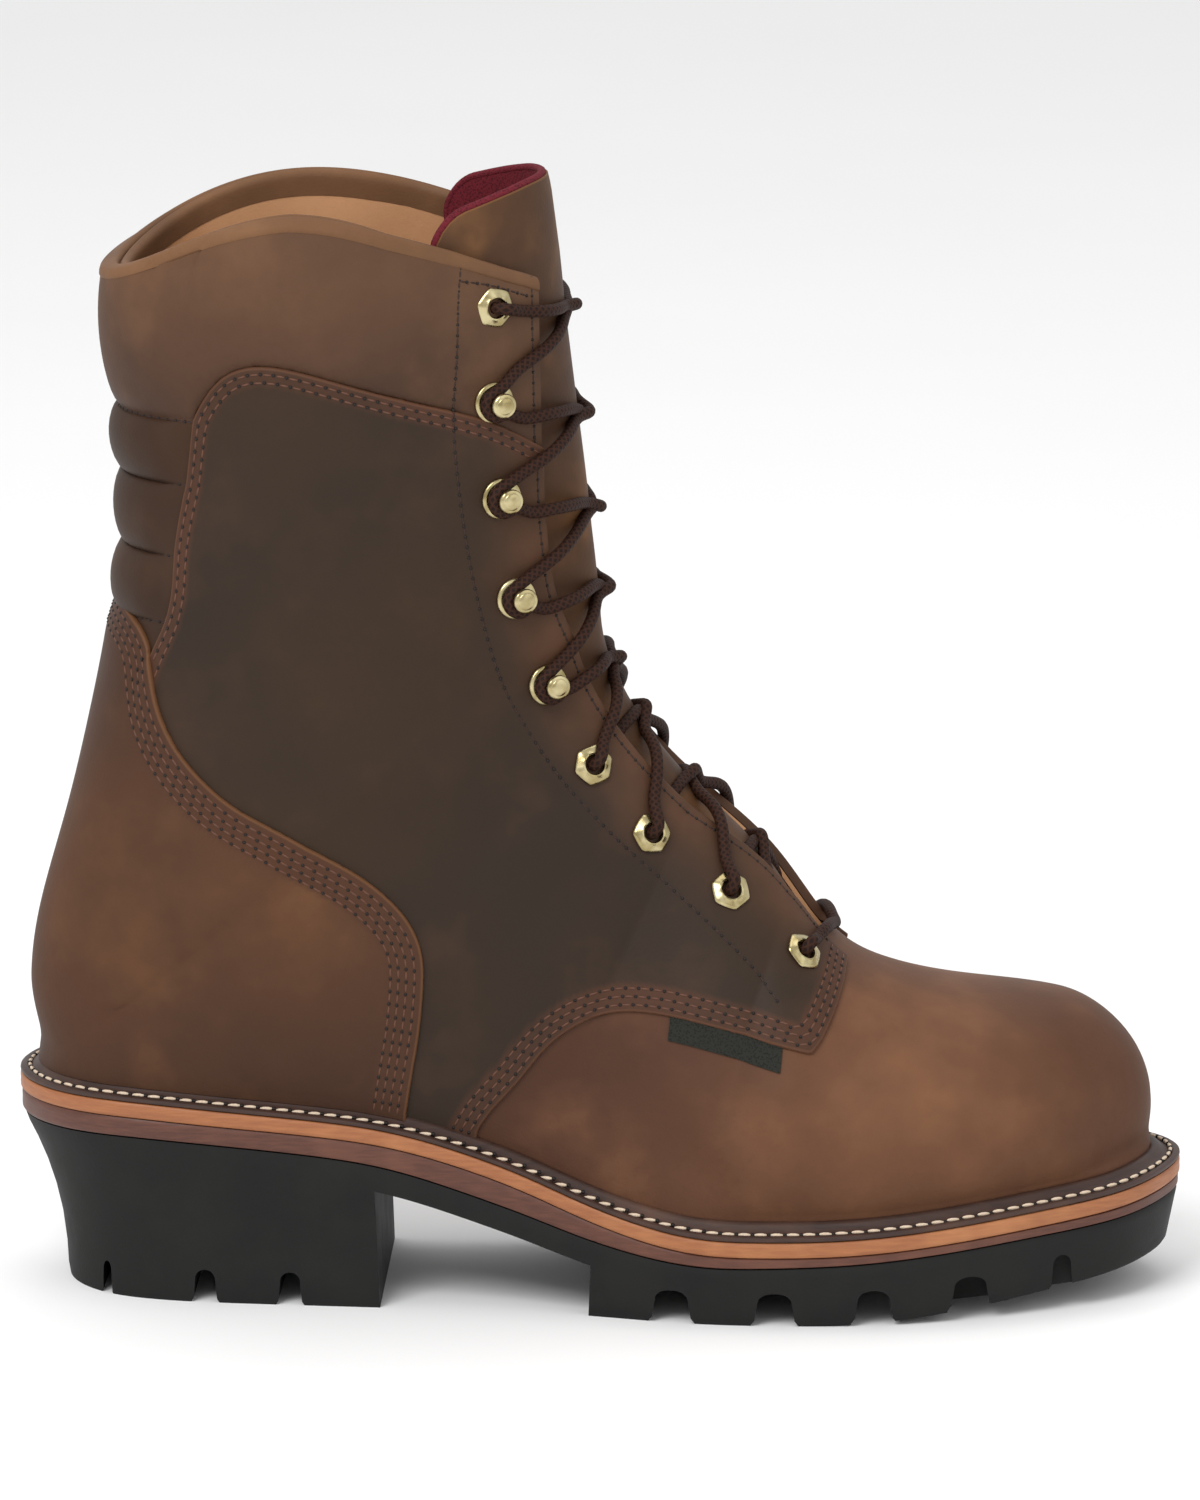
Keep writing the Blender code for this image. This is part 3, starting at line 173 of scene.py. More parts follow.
# Sections of the upper, from the front ridge to the welt or up the back, as in the CAD
Section = namedtuple("Section", "ridge_x ridge_up shaft base_x base_up girth plan bulge front back swing gap")
SECTIONS = [
    Section(0.4788, 0.205, 0, 0.4788, 0.0540, 0.00, 0.0, 0.0010, 2.00, 2.00, 0.040, 0.00),
    Section(0.4764, 0.330, 0, 0.4778, 0.0230, 0.125, 0.0, 0.0012, 2.05, 2.05, 0.040, 0.10),
    Section(0.4680, 0.425, 0, 0.4759, 0.0000, 0.225, 0.0, 0.0014, 2.15, 2.10, 0.041, 0.19),
    Section(0.4500, 0.520, 0, 0.4560, 0.0000, 0.33, 1.0, 0.0016, 2.25, 2.15, 0.043, 0.28),
    Section(0.4180, 0.600, 0, 0.4190, 0.0000, 0.44, 1.0, 0.0018, 2.30, 2.15, 0.047, 0.35),
    Section(0.3700, 0.657, 0, 0.3680, 0.0000, 0.50, 1.0, 0.0020, 2.30, 2.15, 0.052, 0.41),
    Section(0.3050, 0.708, 0, 0.2980, 0.0000, 0.55, 1.0, 0.0020, 2.25, 2.15, 0.058, 0.47),
    Section(0.2450, 0.786, 0, 0.2250, 0.0000, 0.57, 1.0, 0.0022, 2.15, 2.15, 0.062, 0.52),
    Section(0.1960, 0.930, 0, 0.1420, 0.0000, 0.55, 1.0, 0.0024, 2.10, 2.20, 0.062, 0.55),
    Section(0.1480, 0.276, 1, 0.0600, 0.0000, 0.505, 0.6, 0.0024, 2.10, 2.25, 0.054, 0.60),
    Section(0.0880, 0.364, 1, -0.0500, 0.0000, 0.450, 0.2, 0.0024, 2.10, 2.35, 0.040, 0.68),
    Section(0.0410, 0.450, 1, -0.1800, 0.0000, 0.425, 0.0, 0.0024, 2.08, 2.45, 0.026, 0.76),
    Section(0.0160, 0.528, 1, -0.3050, 0.0000, 0.420, 0.0, 0.0024, 2.06, 2.50, 0.015, 0.82),
    Section(0.0118, 0.580, 1, -0.4100, 0.0000, 0.422, 0.0, 0.0024, 2.05, 2.50, 0.008, 0.92),
    Section(0.0095, 0.610, 1, -0.4610, 0.0000, 0.424, 0.0, 0.0024, 2.04, 2.40, 0.004, 1.00),
    Section(0.0072, 0.640, 1, -0.4762, 0.0000, 0.427, 0.0, 0.0024, 2.03, 2.40, 0.000, 1.08),
    Section(0.0045, 0.672, 1, -0.4810, 0.0900, 0.432, 0.0, 0.0024, 2.02, 2.40, 0.000, 1.13),
    Section(0.0016, 0.712, 1, -0.4710, 0.1900, 0.438, 0.0, 0.0024, 2.02, 2.40, 0.000, 1.15),
    Section(-0.0022, 0.758, 1, -0.4487, 0.3000, 0.444, 0.0, 0.0024, 2.02, 2.40, 0.000, 1.15),
    Section(-0.0065, 0.805, 1, -0.4285, 0.4150, 0.452, 0.0, 0.0024, 2.02, 2.40, 0.000, 1.11),
    Section(-0.0105, 0.850, 1, -0.4120, 0.5300, 0.462, 0.0, 0.0024, 2.02, 2.35, 0.000, 1.07),
    Section(-0.0142, 0.892, 1, -0.4030, 0.6500, 0.474, 0.0, 0.0024, 2.02, 2.35, 0.000, 1.03),
    Section(-0.0175, 0.932, 1, -0.4065, 0.7700, 0.486, 0.0, 0.0024, 2.02, 2.30, 0.000, 1.00),
    Section(-0.0200, 0.968, 1, -0.4125, 0.8750, 0.495, 0.0, 0.0024, 2.02, 2.30, 0.000, 0.97),
    Section(-0.0223, 1.000, 1, -0.4140, 0.9600, 0.500, 0.0, 0.0024, 2.02, 2.30, 0.000, 0.95),
]
TIP_ROW = 2
THROAT_ROW = 8
HEEL_ROW = 15
TOP_ROW = len(SECTIONS) - 1
BOW_START = 19.0

# Edges of the panels in side view: x as a share of the sole's length, up as a share of the shaft height
Edge = namedtuple("Edge", "x up")
VAMP_EDGE = [
    Edge(-0.108, -0.130),
    Edge(-0.098, -0.030),
    Edge(-0.066, 0.026),
    Edge(-0.042, 0.068),
    Edge(-0.012, 0.099),
    Edge(0.014, 0.111),
    Edge(0.047, 0.112),
    Edge(0.105, 0.097),
    Edge(0.183, 0.070),
]
FACING_EDGE = [
    Edge(0.192, 0.084),
    Edge(0.208, 0.130),
    Edge(0.215, 0.190),
    Edge(0.214, 0.260),
    Edge(0.200, 0.400),
    Edge(0.100, 0.900),
]
COLLAR_EDGE = [
    Edge(0.100, 0.700),
    Edge(-0.020, 0.755),
    Edge(-0.054, 0.790),
    Edge(-0.082, 0.815),
    Edge(-0.145, 0.845),
    Edge(-0.209, 0.870),
    Edge(-0.253, 0.886),
    Edge(-0.285, 0.889),
    Edge(-0.305, 0.880),
    Edge(-0.325, 0.851),
    Edge(-0.336, 0.822),
]
RIB_EDGE = [
    Edge(-0.342, 0.747),
    Edge(-0.348, 0.709),
    Edge(-0.354, 0.652),
    Edge(-0.356, 0.613),
    Edge(-0.363, 0.573),
    Edge(-0.375, 0.535),
    Edge(-0.390, 0.450),
    Edge(-0.390, -0.200),
]
COUNTER_EDGE = [
    Edge(-0.520, 0.640),
    Edge(-0.430, 0.610),
    Edge(-0.405, 0.590),
    Edge(-0.380, 0.555),
    Edge(-0.369, 0.489),
    Edge(-0.352, 0.430),
    Edge(-0.331, 0.394),
    Edge(-0.303, 0.361),
    Edge(-0.271, 0.336),
    Edge(-0.233, 0.306),
    Edge(-0.206, 0.284),
    Edge(-0.179, 0.255),
    Edge(-0.157, 0.219),
    Edge(-0.147, 0.183),
    Edge(-0.146, 0.141),
    Edge(-0.150, 0.082),
    Edge(-0.157, 0.022),
    Edge(-0.165, -0.060),
]
EYESTAY_LINE = [
    Edge(-0.112, 1.009),
    Edge(-0.116, 0.965),
    Edge(-0.117, 0.906),
    Edge(-0.119, 0.836),
    Edge(-0.114, 0.723),
    Edge(-0.097, 0.584),
    Edge(-0.071, 0.475),
    Edge(-0.006, 0.345),
    Edge(0.067, 0.247),
    Edge(0.137, 0.155),
    Edge(0.152, 0.130),
]
RIB_SEAMS = [0.575, 0.655, 0.742, 0.818]

# Lace stops: section row, share of the margin off the facing's edge, and 1 where they sit on the quarter
Stop = namedtuple("Stop", "kind section reach step")
STOPS = [
    Stop("eyelet", 8.35, 1.25, 1),
    Stop("eyelet", 9.35, 1.22, 1),
    Stop("eyelet", 10.30, 1.12, 1),
    Stop("eyelet", 11.25, 1.00, 1),
    Stop("hook", 12.85, 0.98, 1),
    Stop("hook", 16.40, 1.00, 1),
    Stop("hook", 18.80, 1.15, 1),
    Stop("hook", 20.75, 1.20, 0),
    Stop("eyelet", 22.60, 1.12, 0),
]

# Half width of the tongue along its sections, as shares of the shaft width
TongueRow = namedtuple("TongueRow", "section half")
TONGUE_ROWS = [
    TongueRow(6.90, 0.190),
    TongueRow(8.30, 0.275),
    TongueRow(9.80, 0.330),
    TongueRow(11.50, 0.380),
    TongueRow(14.60, 0.430),
    TongueRow(17.80, 0.490),
    TongueRow(20.80, 0.550),
    TongueRow(24.00, 0.770),
]


# Curves and tables
def spline(knots, values):
    """A natural cubic through the values, as a function of the knot coordinate."""
    t = np.array(knots, float)
    v = np.array(values, float)
    step = np.diff(t)
    count = len(t)
    system = np.eye(count)
    right = np.zeros(count)
    for i in range(1, count - 1):
        system[i, i - 1 : i + 2] = step[i - 1], 2 * (step[i - 1] + step[i]), step[i]
        right[i] = 6 * ((v[i + 1] - v[i]) / step[i] - (v[i] - v[i - 1]) / step[i - 1])
    bend = np.linalg.solve(system, right)

    def at(x):
        x = np.clip(x, t[0], t[-1])
        i = np.clip(np.searchsorted(t, x) - 1, 0, count - 2)
        a = (t[i + 1] - x) / step[i]
        b = (x - t[i]) / step[i]
        return a * v[i] + b * v[i + 1] + ((a**3 - a) * bend[i] + (b**3 - b) * bend[i + 1]) * step[i] ** 2 / 6

    return at


def lengths_along(points):
    """Distance of each point from the first, along the line through them."""
    return np.concatenate([[0], np.cumsum(np.linalg.norm(np.diff(points, axis=0), axis=1))])


def height_at(up):
    """Height of a share of the shaft."""
    return HEEL_DECK + up * SHAFT_HEIGHT


def share_up(z):
    """Share of the shaft at a height."""
    return (z - HEEL_DECK) / SHAFT_HEIGHT


def smooth(edge_from, edge_to, x):
    """0 up to edge_from, 1 from edge_to on, with a soft S between."""
    t = np.clip((x - edge_from) / (edge_to - edge_from), 0, 1)
    return t * t * (3 - 2 * t)


deck_heel = spline([d.x for d in DECK], [d.heel for d in DECK])
deck_toe = spline([d.x for d in DECK], [d.toe for d in DECK])
slip_share = spline([s.x for s in SLIP], [s.share for s in SLIP])


def deck(x):
    """Height of the midsole's top at x."""
    share = x / SOLE_LENGTH
    return FORE_DECK + (HEEL_DECK - FORE_DECK) * deck_heel(share) + TOE_SPRING * deck_toe(share)


def slip_top(x):
    return deck(x) - MIDSOLE - GAP


def slip_bottom(x):
    return slip_top(x) - FORE_SLIP - (HEEL_SLIP - FORE_SLIP) * slip_share(x / SOLE_LENGTH)


def rubber_top(x):
    return slip_bottom(x) - GAP


def ground(x):
    """Height of the tread above the floor: 0 under the heel and ball, rising to the toe."""
    return 1.3 * TOE_SPRING * smooth(0.17, 0.62, x / SOLE_LENGTH)


def outline_curve():
    """The sole's outline as functions of a share: 0 at the back, lateral side first, 0.5 at the toe tip."""
    width = [HEEL_WIDTH + (BALL_WIDTH - HEEL_WIDTH) * p.fore for p in PLAN]
    lateral = [(p.x * SOLE_LENGTH, -p.lateral * w) for p, w in zip(PLAN, width)]
    medial = [(p.x * SOLE_LENGTH, p.medial * w) for p, w in zip(PLAN, width)][::-1]
    points = [(-SOLE_LENGTH / 2, 0.0)] + lateral + [(SOLE_LENGTH / 2, TOE_SWING * BALL_WIDTH)] + medial
    wrap = 4
    ring = np.array(points[-wrap:] + points + points[: wrap + 1])
    chord = lengths_along(ring)
    x_at, y_at = spline(chord, ring[:, 0]), spline(chord, ring[:, 1])
    marks = chord[[wrap, wrap + 1 + len(PLAN), wrap + len(points)]]

    def at(share):
        s = np.interp(share, [0, 0.5, 1], marks)
        reach = 1e-4
        ahead = np.stack([x_at(s + reach) - x_at(s - reach), y_at(s + reach) - y_at(s - reach)], axis=-1)
        ahead /= np.linalg.norm(ahead, axis=-1)[..., None]
        outward = np.stack([ahead[..., 1], -ahead[..., 0]], axis=-1)
        return np.stack([x_at(s), y_at(s)], axis=-1), outward

    return at


outline = outline_curve()


def outline_ring(count, inset=0.0):
    """A ring of count points (even), moved in by inset, which may be a function of x."""
    point, outward = outline(np.arange(count) / count)
    depth = inset(point[:, 0]) if callable(inset) else inset
    return point - outward * np.reshape(depth * np.ones(count), (-1, 1))


FEATHER = outline_ring(800, WELT_MARGIN)
FEATHER_BACK = FEATHER[0]
FEATHER_TIP = FEATHER[len(FEATHER) // 2]


def feather(x):
    """The upper's base at x: y on the lateral and on the medial side."""
    half = len(FEATHER) // 2
    lateral = FEATHER[: half + 1]
    medial = np.concatenate([FEATHER[half:], FEATHER[:1]])[::-1]
    return float(np.interp(x, lateral[:, 0], lateral[:, 1])), float(np.interp(x, medial[:, 0], medial[:, 1]))


# The upper's own surface
def ridge_height(row):
    if row.shaft:
        return height_at(row.ridge_up)
    return deck(row.ridge_x * SOLE_LENGTH) + row.ridge_up * INSTEP_HEIGHT


ROWS = range(len(SECTIONS))
ridge_x = spline(ROWS, [r.ridge_x * SOLE_LENGTH for r in SECTIONS])
ridge_z = spline(ROWS, [ridge_height(r) for r in SECTIONS])
base_x = spline(ROWS, [r.base_x * SOLE_LENGTH for r in SECTIONS])
base_rise = spline(ROWS, [r.base_up * SHAFT_HEIGHT for r in SECTIONS])
girth = spline(ROWS, [r.girth * SHAFT_WIDTH for r in SECTIONS])
plan_share = spline(ROWS, [r.plan for r in SECTIONS])
bulge = spline(ROWS, [r.bulge for r in SECTIONS])
front_power = spline(ROWS, [r.front for r in SECTIONS])
back_power = spline(ROWS, [r.back for r in SECTIONS])
swing = spline(ROWS, [r.swing * BALL_WIDTH for r in SECTIONS])
strip_half = spline(ROWS, [r.gap * HALF_GAP for r in SECTIONS])


def section_half(u, side, count=240):
    """Half a section, ridge to base, as points and arc lengths. side is -1 lateral, +1 medial."""
    top = np.array([ridge_x(u), swing(u), ridge_z(u)])
    on_welt = TIP_ROW <= u <= HEEL_ROW
    x = float(base_x(u))
    if on_welt:
        x = float(np.clip(x, FEATHER_BACK[0], FEATHER_TIP[0]))
    rise = 0.0 if on_welt else max(float(base_rise(u)), 0.0)
    foot = np.array([x, 0.0, deck(x) + WELT_LIP + LEDGE_GAP + rise])
    if TIP_ROW < u < HEEL_ROW:
        foot[1] = feather(x)[0 if side < 0 else 1]
    elif u <= TIP_ROW:
        foot[1] = FEATHER_TIP[1]
    inner = abs(foot[1] - top[1])
    share = min(max(float(plan_share(u)), 0), 1) if u > TIP_ROW else 0.0
    wide = max(share * (inner + float(bulge(u))) + (1 - share) * float(girth(u)), inner + 1e-4)
    fronts, backs = 2 / float(front_power(u)), 2 / float(back_power(u))
    closing = math.pi - math.asin(min(1.0, (inner / wide)) ** (1 / backs)) if inner > 0 else math.pi
    angle = np.linspace(0, closing, count)
    power = np.where(angle < math.pi / 2, fronts, backs)
    width = wide * np.maximum(np.sin(angle), 0) ** power
    along = 1 - np.sign(np.cos(angle)) * np.abs(np.cos(angle)) ** power
    along /= along[-1]
    points = top + (foot - top) * along[:, None]
    points[:, 1] = top[1] + side * width
    if TIP_ROW >= u or u >= HEEL_ROW:
        points[:, 1] += (foot[1] - top[1]) * along
    bow = COLLAR_BOW * smooth(BOW_START, TOP_ROW, u) ** 1.3
    back, blunt = (1.2, 1.2) if side < 0 else (1.35, 0.85)
    points[:, 2] += bow * np.sin(math.pi * np.clip(along, 0, 1) ** back) ** blunt
    arc = lengths_along(points)
    return points, arc


def on_arc(points, arc, distance):
    return np.stack([np.interp(distance, arc, points[:, k]) for k in range(3)], axis=-1)


def on_front(u, side, distance):
    """The point of the upper's surface at an arc distance from the ridge, and the outward normal there."""
    reach = 0.0015

    def at(row, away):
        points, arc = section_half(row, side)
        return on_arc(points, arc, away)

    here = at(u, distance)
    across = at(u, distance + reach) - at(u, distance - reach)
    up = at(min(u + 0.1, TOP_ROW), distance) - at(u - 0.1, distance)
    normal = np.cross(across, up) * side
    return here, normal / np.linalg.norm(normal)


# Panels in side view
def side_view(edges):
    """A smooth line through the edge rows, in side-view metres."""
    points = np.array([(e.x * SOLE_LENGTH, height_at(e.up)) for e in edges])
    chord = lengths_along(points)
    way = np.linspace(0, chord[-1], 8 * len(edges))
    return np.stack([spline(chord, points[:, 0])(way), spline(chord, points[:, 1])(way)], axis=1)


def corner(x, up):
    return np.array([[x * SOLE_LENGTH, height_at(up)]])


QUARTER_SHAPE = np.concatenate(
    [side_view(VAMP_EDGE), side_view(FACING_EDGE), side_view(COLLAR_EDGE), side_view(RIB_EDGE)]
)
COUNTER_SHAPE = np.concatenate([side_view(COUNTER_EDGE), corner(-0.165, -0.3), corner(-0.6, -0.3)])
COLLAR_LINE = side_view(COLLAR_EDGE)[::-1]
RIB_LINE = side_view(RIB_EDGE)[::-1]


def inside_distance(shape, x, z):
    """Distance of side-view places to a closed outline, positive inside it."""
    spot = np.stack([x, z], axis=1)
    nearest = np.full(len(x), 9.0)
    odd = np.zeros(len(x), bool)
    for start, end in zip(shape, np.roll(shape, -1, axis=0)):
        way = end - start
        offset = spot - start
        share = np.clip(offset @ way / (way @ way + 1e-12), 0, 1)
        nearest = np.minimum(nearest, np.linalg.norm(offset - share[:, None] * way, axis=1))
        crossing = (start[1] > z) != (end[1] > z)
        level = start[0] + (z - start[1]) * way[0] / (way[1] if way[1] else 1.0)
        odd ^= crossing & (level > x)
    return np.where(odd, nearest, -nearest)


def swelling(place):
    """How far padding lifts the surface: the collar's roll and the ribs up the back."""
    x, z = place[:, 0], place[:, 2]
    share = share_up(z)
    seam = np.interp(x, COLLAR_LINE[:, 0], COLLAR_LINE[:, 1])
    seam = np.maximum(seam, height_at(RIB_SEAMS[-1]))
    lift = (z - seam) / 0.030
    back = 1 - smooth(-0.150, -0.085, x / SOLE_LENGTH)
    puff = COLLAR_PUFF * back * np.sqrt(np.maximum(np.sin(math.pi * np.clip(lift / 1.35, 0, 1)), 0))
    edge = np.interp(z, RIB_LINE[:, 1], RIB_LINE[:, 0])
    column = 1 - smooth(-0.008, 0.001, x - edge)
    for low, high in zip(RIB_SEAMS, RIB_SEAMS[1:]):
        within = np.clip((share - low) / (high - low), 0, 1)
        puff += RIB_PUFF * column * np.sqrt(np.maximum(np.sin(math.pi * within), 0))
    return puff


def wall_at(place):
    """Thickness of the wall: one leather, thicker where the collar is padded."""
    pad = 1 - smooth(-0.210, -0.155, place[:, 0] / SOLE_LENGTH)
    rise = smooth(0.78, 0.86, share_up(place[:, 2]))
    return WALL + (COLLAR_WALL - WALL) * pad * rise


# The skin, a fine grid over the upper that seams cut exactly
STRIP_COLUMNS = 12
SIDE_COLUMNS = 118
ROW_COUNT = 320
SNAP = 0.12 * MM

# Where the skin is relaxed, in rows: the toe's fade, the heel's start and end, then height above the welt
TOE_FADE = (TIP_ROW + 1.0, TIP_ROW + 2.6)
HEEL_START = (14.0, 14.8)
HEEL_END = (15.3, 16.1)
HEEL_RISE = (25 * MM, 45 * MM)
HEEL_SHARE = 0.4
RELAX_PASSES = 260


def row_marks(count):
    """Section rows a steady step apart, with the toe tip, throat and heel rows among them."""
    fine = np.linspace(0, TOP_ROW, 2400)
    ridge = np.stack([ridge_x(fine), ridge_z(fine)])
    foot = np.stack([base_x(fine), deck(base_x(fine)) + np.maximum(base_rise(fine), 0)])
    step = np.linalg.norm(np.diff(ridge), axis=0) + np.linalg.norm(np.diff(foot), axis=0)
    way = np.concatenate([[0], np.cumsum(step)])
    marks = np.interp(np.linspace(0, way[-1], count), way, fine)
    for fixed in (TIP_ROW, THROAT_ROW, HEEL_ROW):
        marks[np.argmin(np.abs(marks - fixed))] = fixed
    return marks


def side_shares():
    """Steps from the facing's edge to the base, with two close to the edge to round it."""
    even = np.linspace(0, 1, SIDE_COLUMNS - 1)
    return np.concatenate([[0, 0.0018, 0.0048], even[1:]])


def quad_normals(places, quads):
    """Normals at the vertices, from the faces round them."""
    ring = places[quads]
    area = np.cross(ring[:, 2] - ring[:, 0], ring[:, 3] - ring[:, 1])
    total = np.zeros_like(places)
    for k in range(4):
        np.add.at(total, quads[:, k], area)
    return total / np.maximum(np.linalg.norm(total, axis=1), 1e-12)[:, None]


# How far the outer side's top edge dips towards the facing: side-view x and drop, in millimetres
TOP_DIP = [(-80, 0.0), (-72, 0.7), (-54, 2.6), (-36, 2.9), (-27, 3.8), (-19, 5.0), (-12, 7.0)]


def dip_at(x):
    return np.interp(x / MM, [a for a, _ in TOP_DIP], [d for _, d in TOP_DIP]) * MM


def top_dip(places, rows):
    return dip_at(places[:, 0]) * np.clip((rows - 22) / 2, 0, 1) ** 1.3 * (places[:, 1] < 0)


def relaxed(places, quads, share, passes):
    """Places drawn towards the middle of their neighbours, by a share each."""
    ring = np.concatenate([quads[:, [k, (k + 1) % 4]] for k in range(4)])
    ring = ring[(share[ring[:, 0]] > 0) & (ring[:, 0] != ring[:, 1])]
    start, end = ring[:, 0], ring[:, 1]
    count = np.maximum(np.bincount(start, minlength=len(places)), 1)
    for _ in range(passes):
        total = np.stack([np.bincount(start, places[end, k], len(places)) for k in range(3)], axis=1)
        mean = total / count[:, None]
        places = places + 0.5 * share[:, None] * (mean - places)
    return places


class Skin:
    """Vertices with named values, and faces as rings of vertex numbers."""

    def __init__(self):
        self.marks = row_marks(ROW_COUNT)
        self.last = STRIP_COLUMNS + SIDE_COLUMNS
        wide = 2 * self.last + 1
        self.ids = np.zeros((len(self.marks), wide), int)
        places, rows, reaches, downs = [], [], [], []
        shares = side_shares()
        for r, u in enumerate(self.marks):
            closed = u <= TIP_ROW or u >= HEEL_ROW
            line = {}
            for side in (-1, 1):
                points, arc = section_half(u, side)
                edge = min(float(strip_half(u)), 0.45 * arc[-1])
                steps = [edge * k / STRIP_COLUMNS for k in range(STRIP_COLUMNS)]
                steps += list(edge + (arc[-1] - edge) * shares)
                found = on_arc(points, arc, np.array(steps))
                for k, distance in enumerate(steps):
                    line[side * k] = (found[k], distance - edge, arc[-1] - distance)
            for k in range(-self.last, self.last + 1):
                if u == 0 and k > -self.last:
                    self.ids[r, k + self.last] = self.ids[r, 0]
                elif closed and k == self.last:
                    self.ids[r, k + self.last] = self.ids[r, 0]
                else:
                    self.ids[r, k + self.last] = len(places)
                    place, reach, down = line[k]
                    places.append(place)
                    rows.append(u)
                    reaches.append(reach)
                    downs.append(down)
        places = np.array(places)
        quads = []
        for r in range(len(self.marks) - 1):
            for k in range(-self.last, self.last):
                if self.marks[r] >= THROAT_ROW and -STRIP_COLUMNS <= k < STRIP_COLUMNS:
                    continue
                c = k + self.last
                quads.append((self.ids[r, c], self.ids[r, c + 1], self.ids[r + 1, c + 1], self.ids[r + 1, c]))
        quads = np.array(quads)
        rows, downs = np.array(rows), np.array(downs)
        places[:, 2] -= top_dip(places, rows)
        toe = 1 - smooth(*TOE_FADE, rows)
        heel = smooth(*HEEL_START, rows) * (1 - smooth(*HEEL_END, rows)) * (1 - smooth(*HEEL_RISE, downs))
        loose = (rows < TIP_ROW) | (rows > HEEL_ROW) | (downs > 1e-7)
        places = relaxed(places, quads, np.maximum(toe, HEEL_SHARE * heel) * loose, RELAX_PASSES)
        normals = quad_normals(places, quads)
        outermost = int(np.argmax(places[:, 1]))
        if normals[outermost, 1] < 0:
            normals = -normals
            quads = quads[:, ::-1]
        self.data = {
            "place": places,
            "normal": normals,
            "row": rows,
            "reach": np.array(reaches),
            "down": downs,
        }
        self.faces = [tuple(dict.fromkeys(q)) for q in quads.tolist()]

    def crossings(self, field, level):
        """Where edges cross a level of a field, as {edge: share}, and each face's pair of such edges."""
        value = (self.data[field] - level).tolist()
        shares, pairs = {}, []
        for face in self.faces:
            found = []
            for a, b in zip(face, face[1:] + face[:1]):
                if (value[a] < 0) != (value[b] < 0):
                    key = (a, b) if a < b else (b, a)
                    shares[key] = value[key[0]] / (value[key[0]] - value[key[1]])
                    found.append(key)
            if len(found) == 2:
                pairs.append(tuple(found))
        return shares, pairs

    def lines(self, field, level):
        """The level's lines over the skin, each as a dict of the values along it."""
        shares, pairs = self.crossings(field, level)
        beside = {}
        for a, b in pairs:
            beside.setdefault(a, []).append(b)
            beside.setdefault(b, []).append(a)
        lines, seen = [], set()
        ends = [key for key, near in beside.items() if len(near) == 1]
        for start in ends + list(beside):
            if start in seen:
                continue
            line, key = [], start
            while key is not None:
                seen.add(key)
                line.append(key)
                key = next((n for n in beside[key] if n not in seen), None)
            if len(line) > 3:
                low = np.array([k[0] for k in line])
                high = np.array([k[1] for k in line])
                share = np.array([shares[k] for k in line])
                lines.append({name: blend(v[low], v[high], share) for name, v in self.data.items()})
        return lines

    def add_distance(self, field, shape):
        """A field with the signed distance over the surface to a side-view outline, positive inside it."""
        place = self.data["place"]
        self.data[field] = inside_distance(shape, place[:, 0], place[:, 2])
        shares, pairs = self.crossings(field, 0.0)
        tree = KDTree(8 * len(pairs))
        for a, b in pairs:
            ends = [blend(place[k[0]], place[k[1]], shares[k]) for k in (a, b)]
            for step in range(8):
                tree.insert(blend(ends[0], ends[1], step / 8), 0)
        tree.balance()
        near = np.flatnonzero(np.abs(self.data[field]) < 0.020)
        sign = np.where(self.data[field] < 0, -1.0, 1.0)
        for i in near:
            self.data[field][i] = sign[i] * tree.find(place[i])[2]

    def cut(self, field, level):
        """Split the faces along a level of a field."""
        value = self.data[field] - level
        value[np.abs(value) < SNAP] = 0.0
        values = value.tolist()
        count = len(values)
        middles, low, high, share, faces = {}, [], [], [], []
        for face in self.faces:
            around = [values[i] for i in face]
            if min(around) >= 0 or max(around) <= 0:
                faces.append(face)
                continue
            ring = []
            for a, b in zip(face, face[1:] + face[:1]):
                ring.append(a)
                if values[a] * values[b] < 0:
                    key = (a, b) if a < b else (b, a)
                    if key not in middles:
                        middles[key] = count + len(low)
                        low.append(key[0])
                        high.append(key[1])
                        share.append(values[key[0]] / (values[key[0]] - values[key[1]]))
                    ring.append(middles[key])
            on_line = [i for i, v in enumerate(ring) if v >= count or values[v] == 0]
            if len(on_line) == 2 and (on_line[1] - on_line[0]) not in (1, len(ring) - 1):
                first, second = on_line
                faces.append(tuple(ring[first : second + 1]))
                faces.append(tuple(ring[second:] + ring[: first + 1]))
            else:
                faces.append(tuple(ring))
        self.faces = faces
        if low:
            for name, v in self.data.items():
                self.data[name] = np.concatenate([v, blend(v[low], v[high], np.array(share))])

    def middle(self, field):
        """A field's mean over each face."""
        values = self.data[field]
        return np.array([values[list(face)].mean(axis=0) for face in self.faces])


def blend(low, high, share):
    share = np.asarray(share)
    if share.ndim and np.ndim(low) > share.ndim:
        share = share[:, None]
    return low * (1 - share) + high * share


# Meshes
def placed(name, data):
    """A new object in the scene."""
    made = bpy.data.objects.new(name, data)
    bpy.context.collection.objects.link(made)
    return made


def hoop(a, b, count):
    """Faces between two rings of count vertices, numbered from a and from b."""
    return [(a + i, a + (i + 1) % count, b + (i + 1) % count, b + i) for i in range(count)]


def new_mesh(name, vertices, faces, look, replaces=()):
    """A piece of the boot, riding on its one body."""
    mesh = bpy.data.meshes.new(name)
    mesh.from_pydata(np.asarray(vertices, float).tolist(), [], [tuple(int(i) for i in f) for f in faces])
    mesh.validate()
    mesh.update()
    piece = placed(name, mesh)
    mesh.materials.append(look)
    mesh.shade_smooth()
    finish_piece(piece, replaces)
    return piece


def finish_piece(piece, replaces=()):
    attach(piece, "root")
    if replaces:
        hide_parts(*replaces)


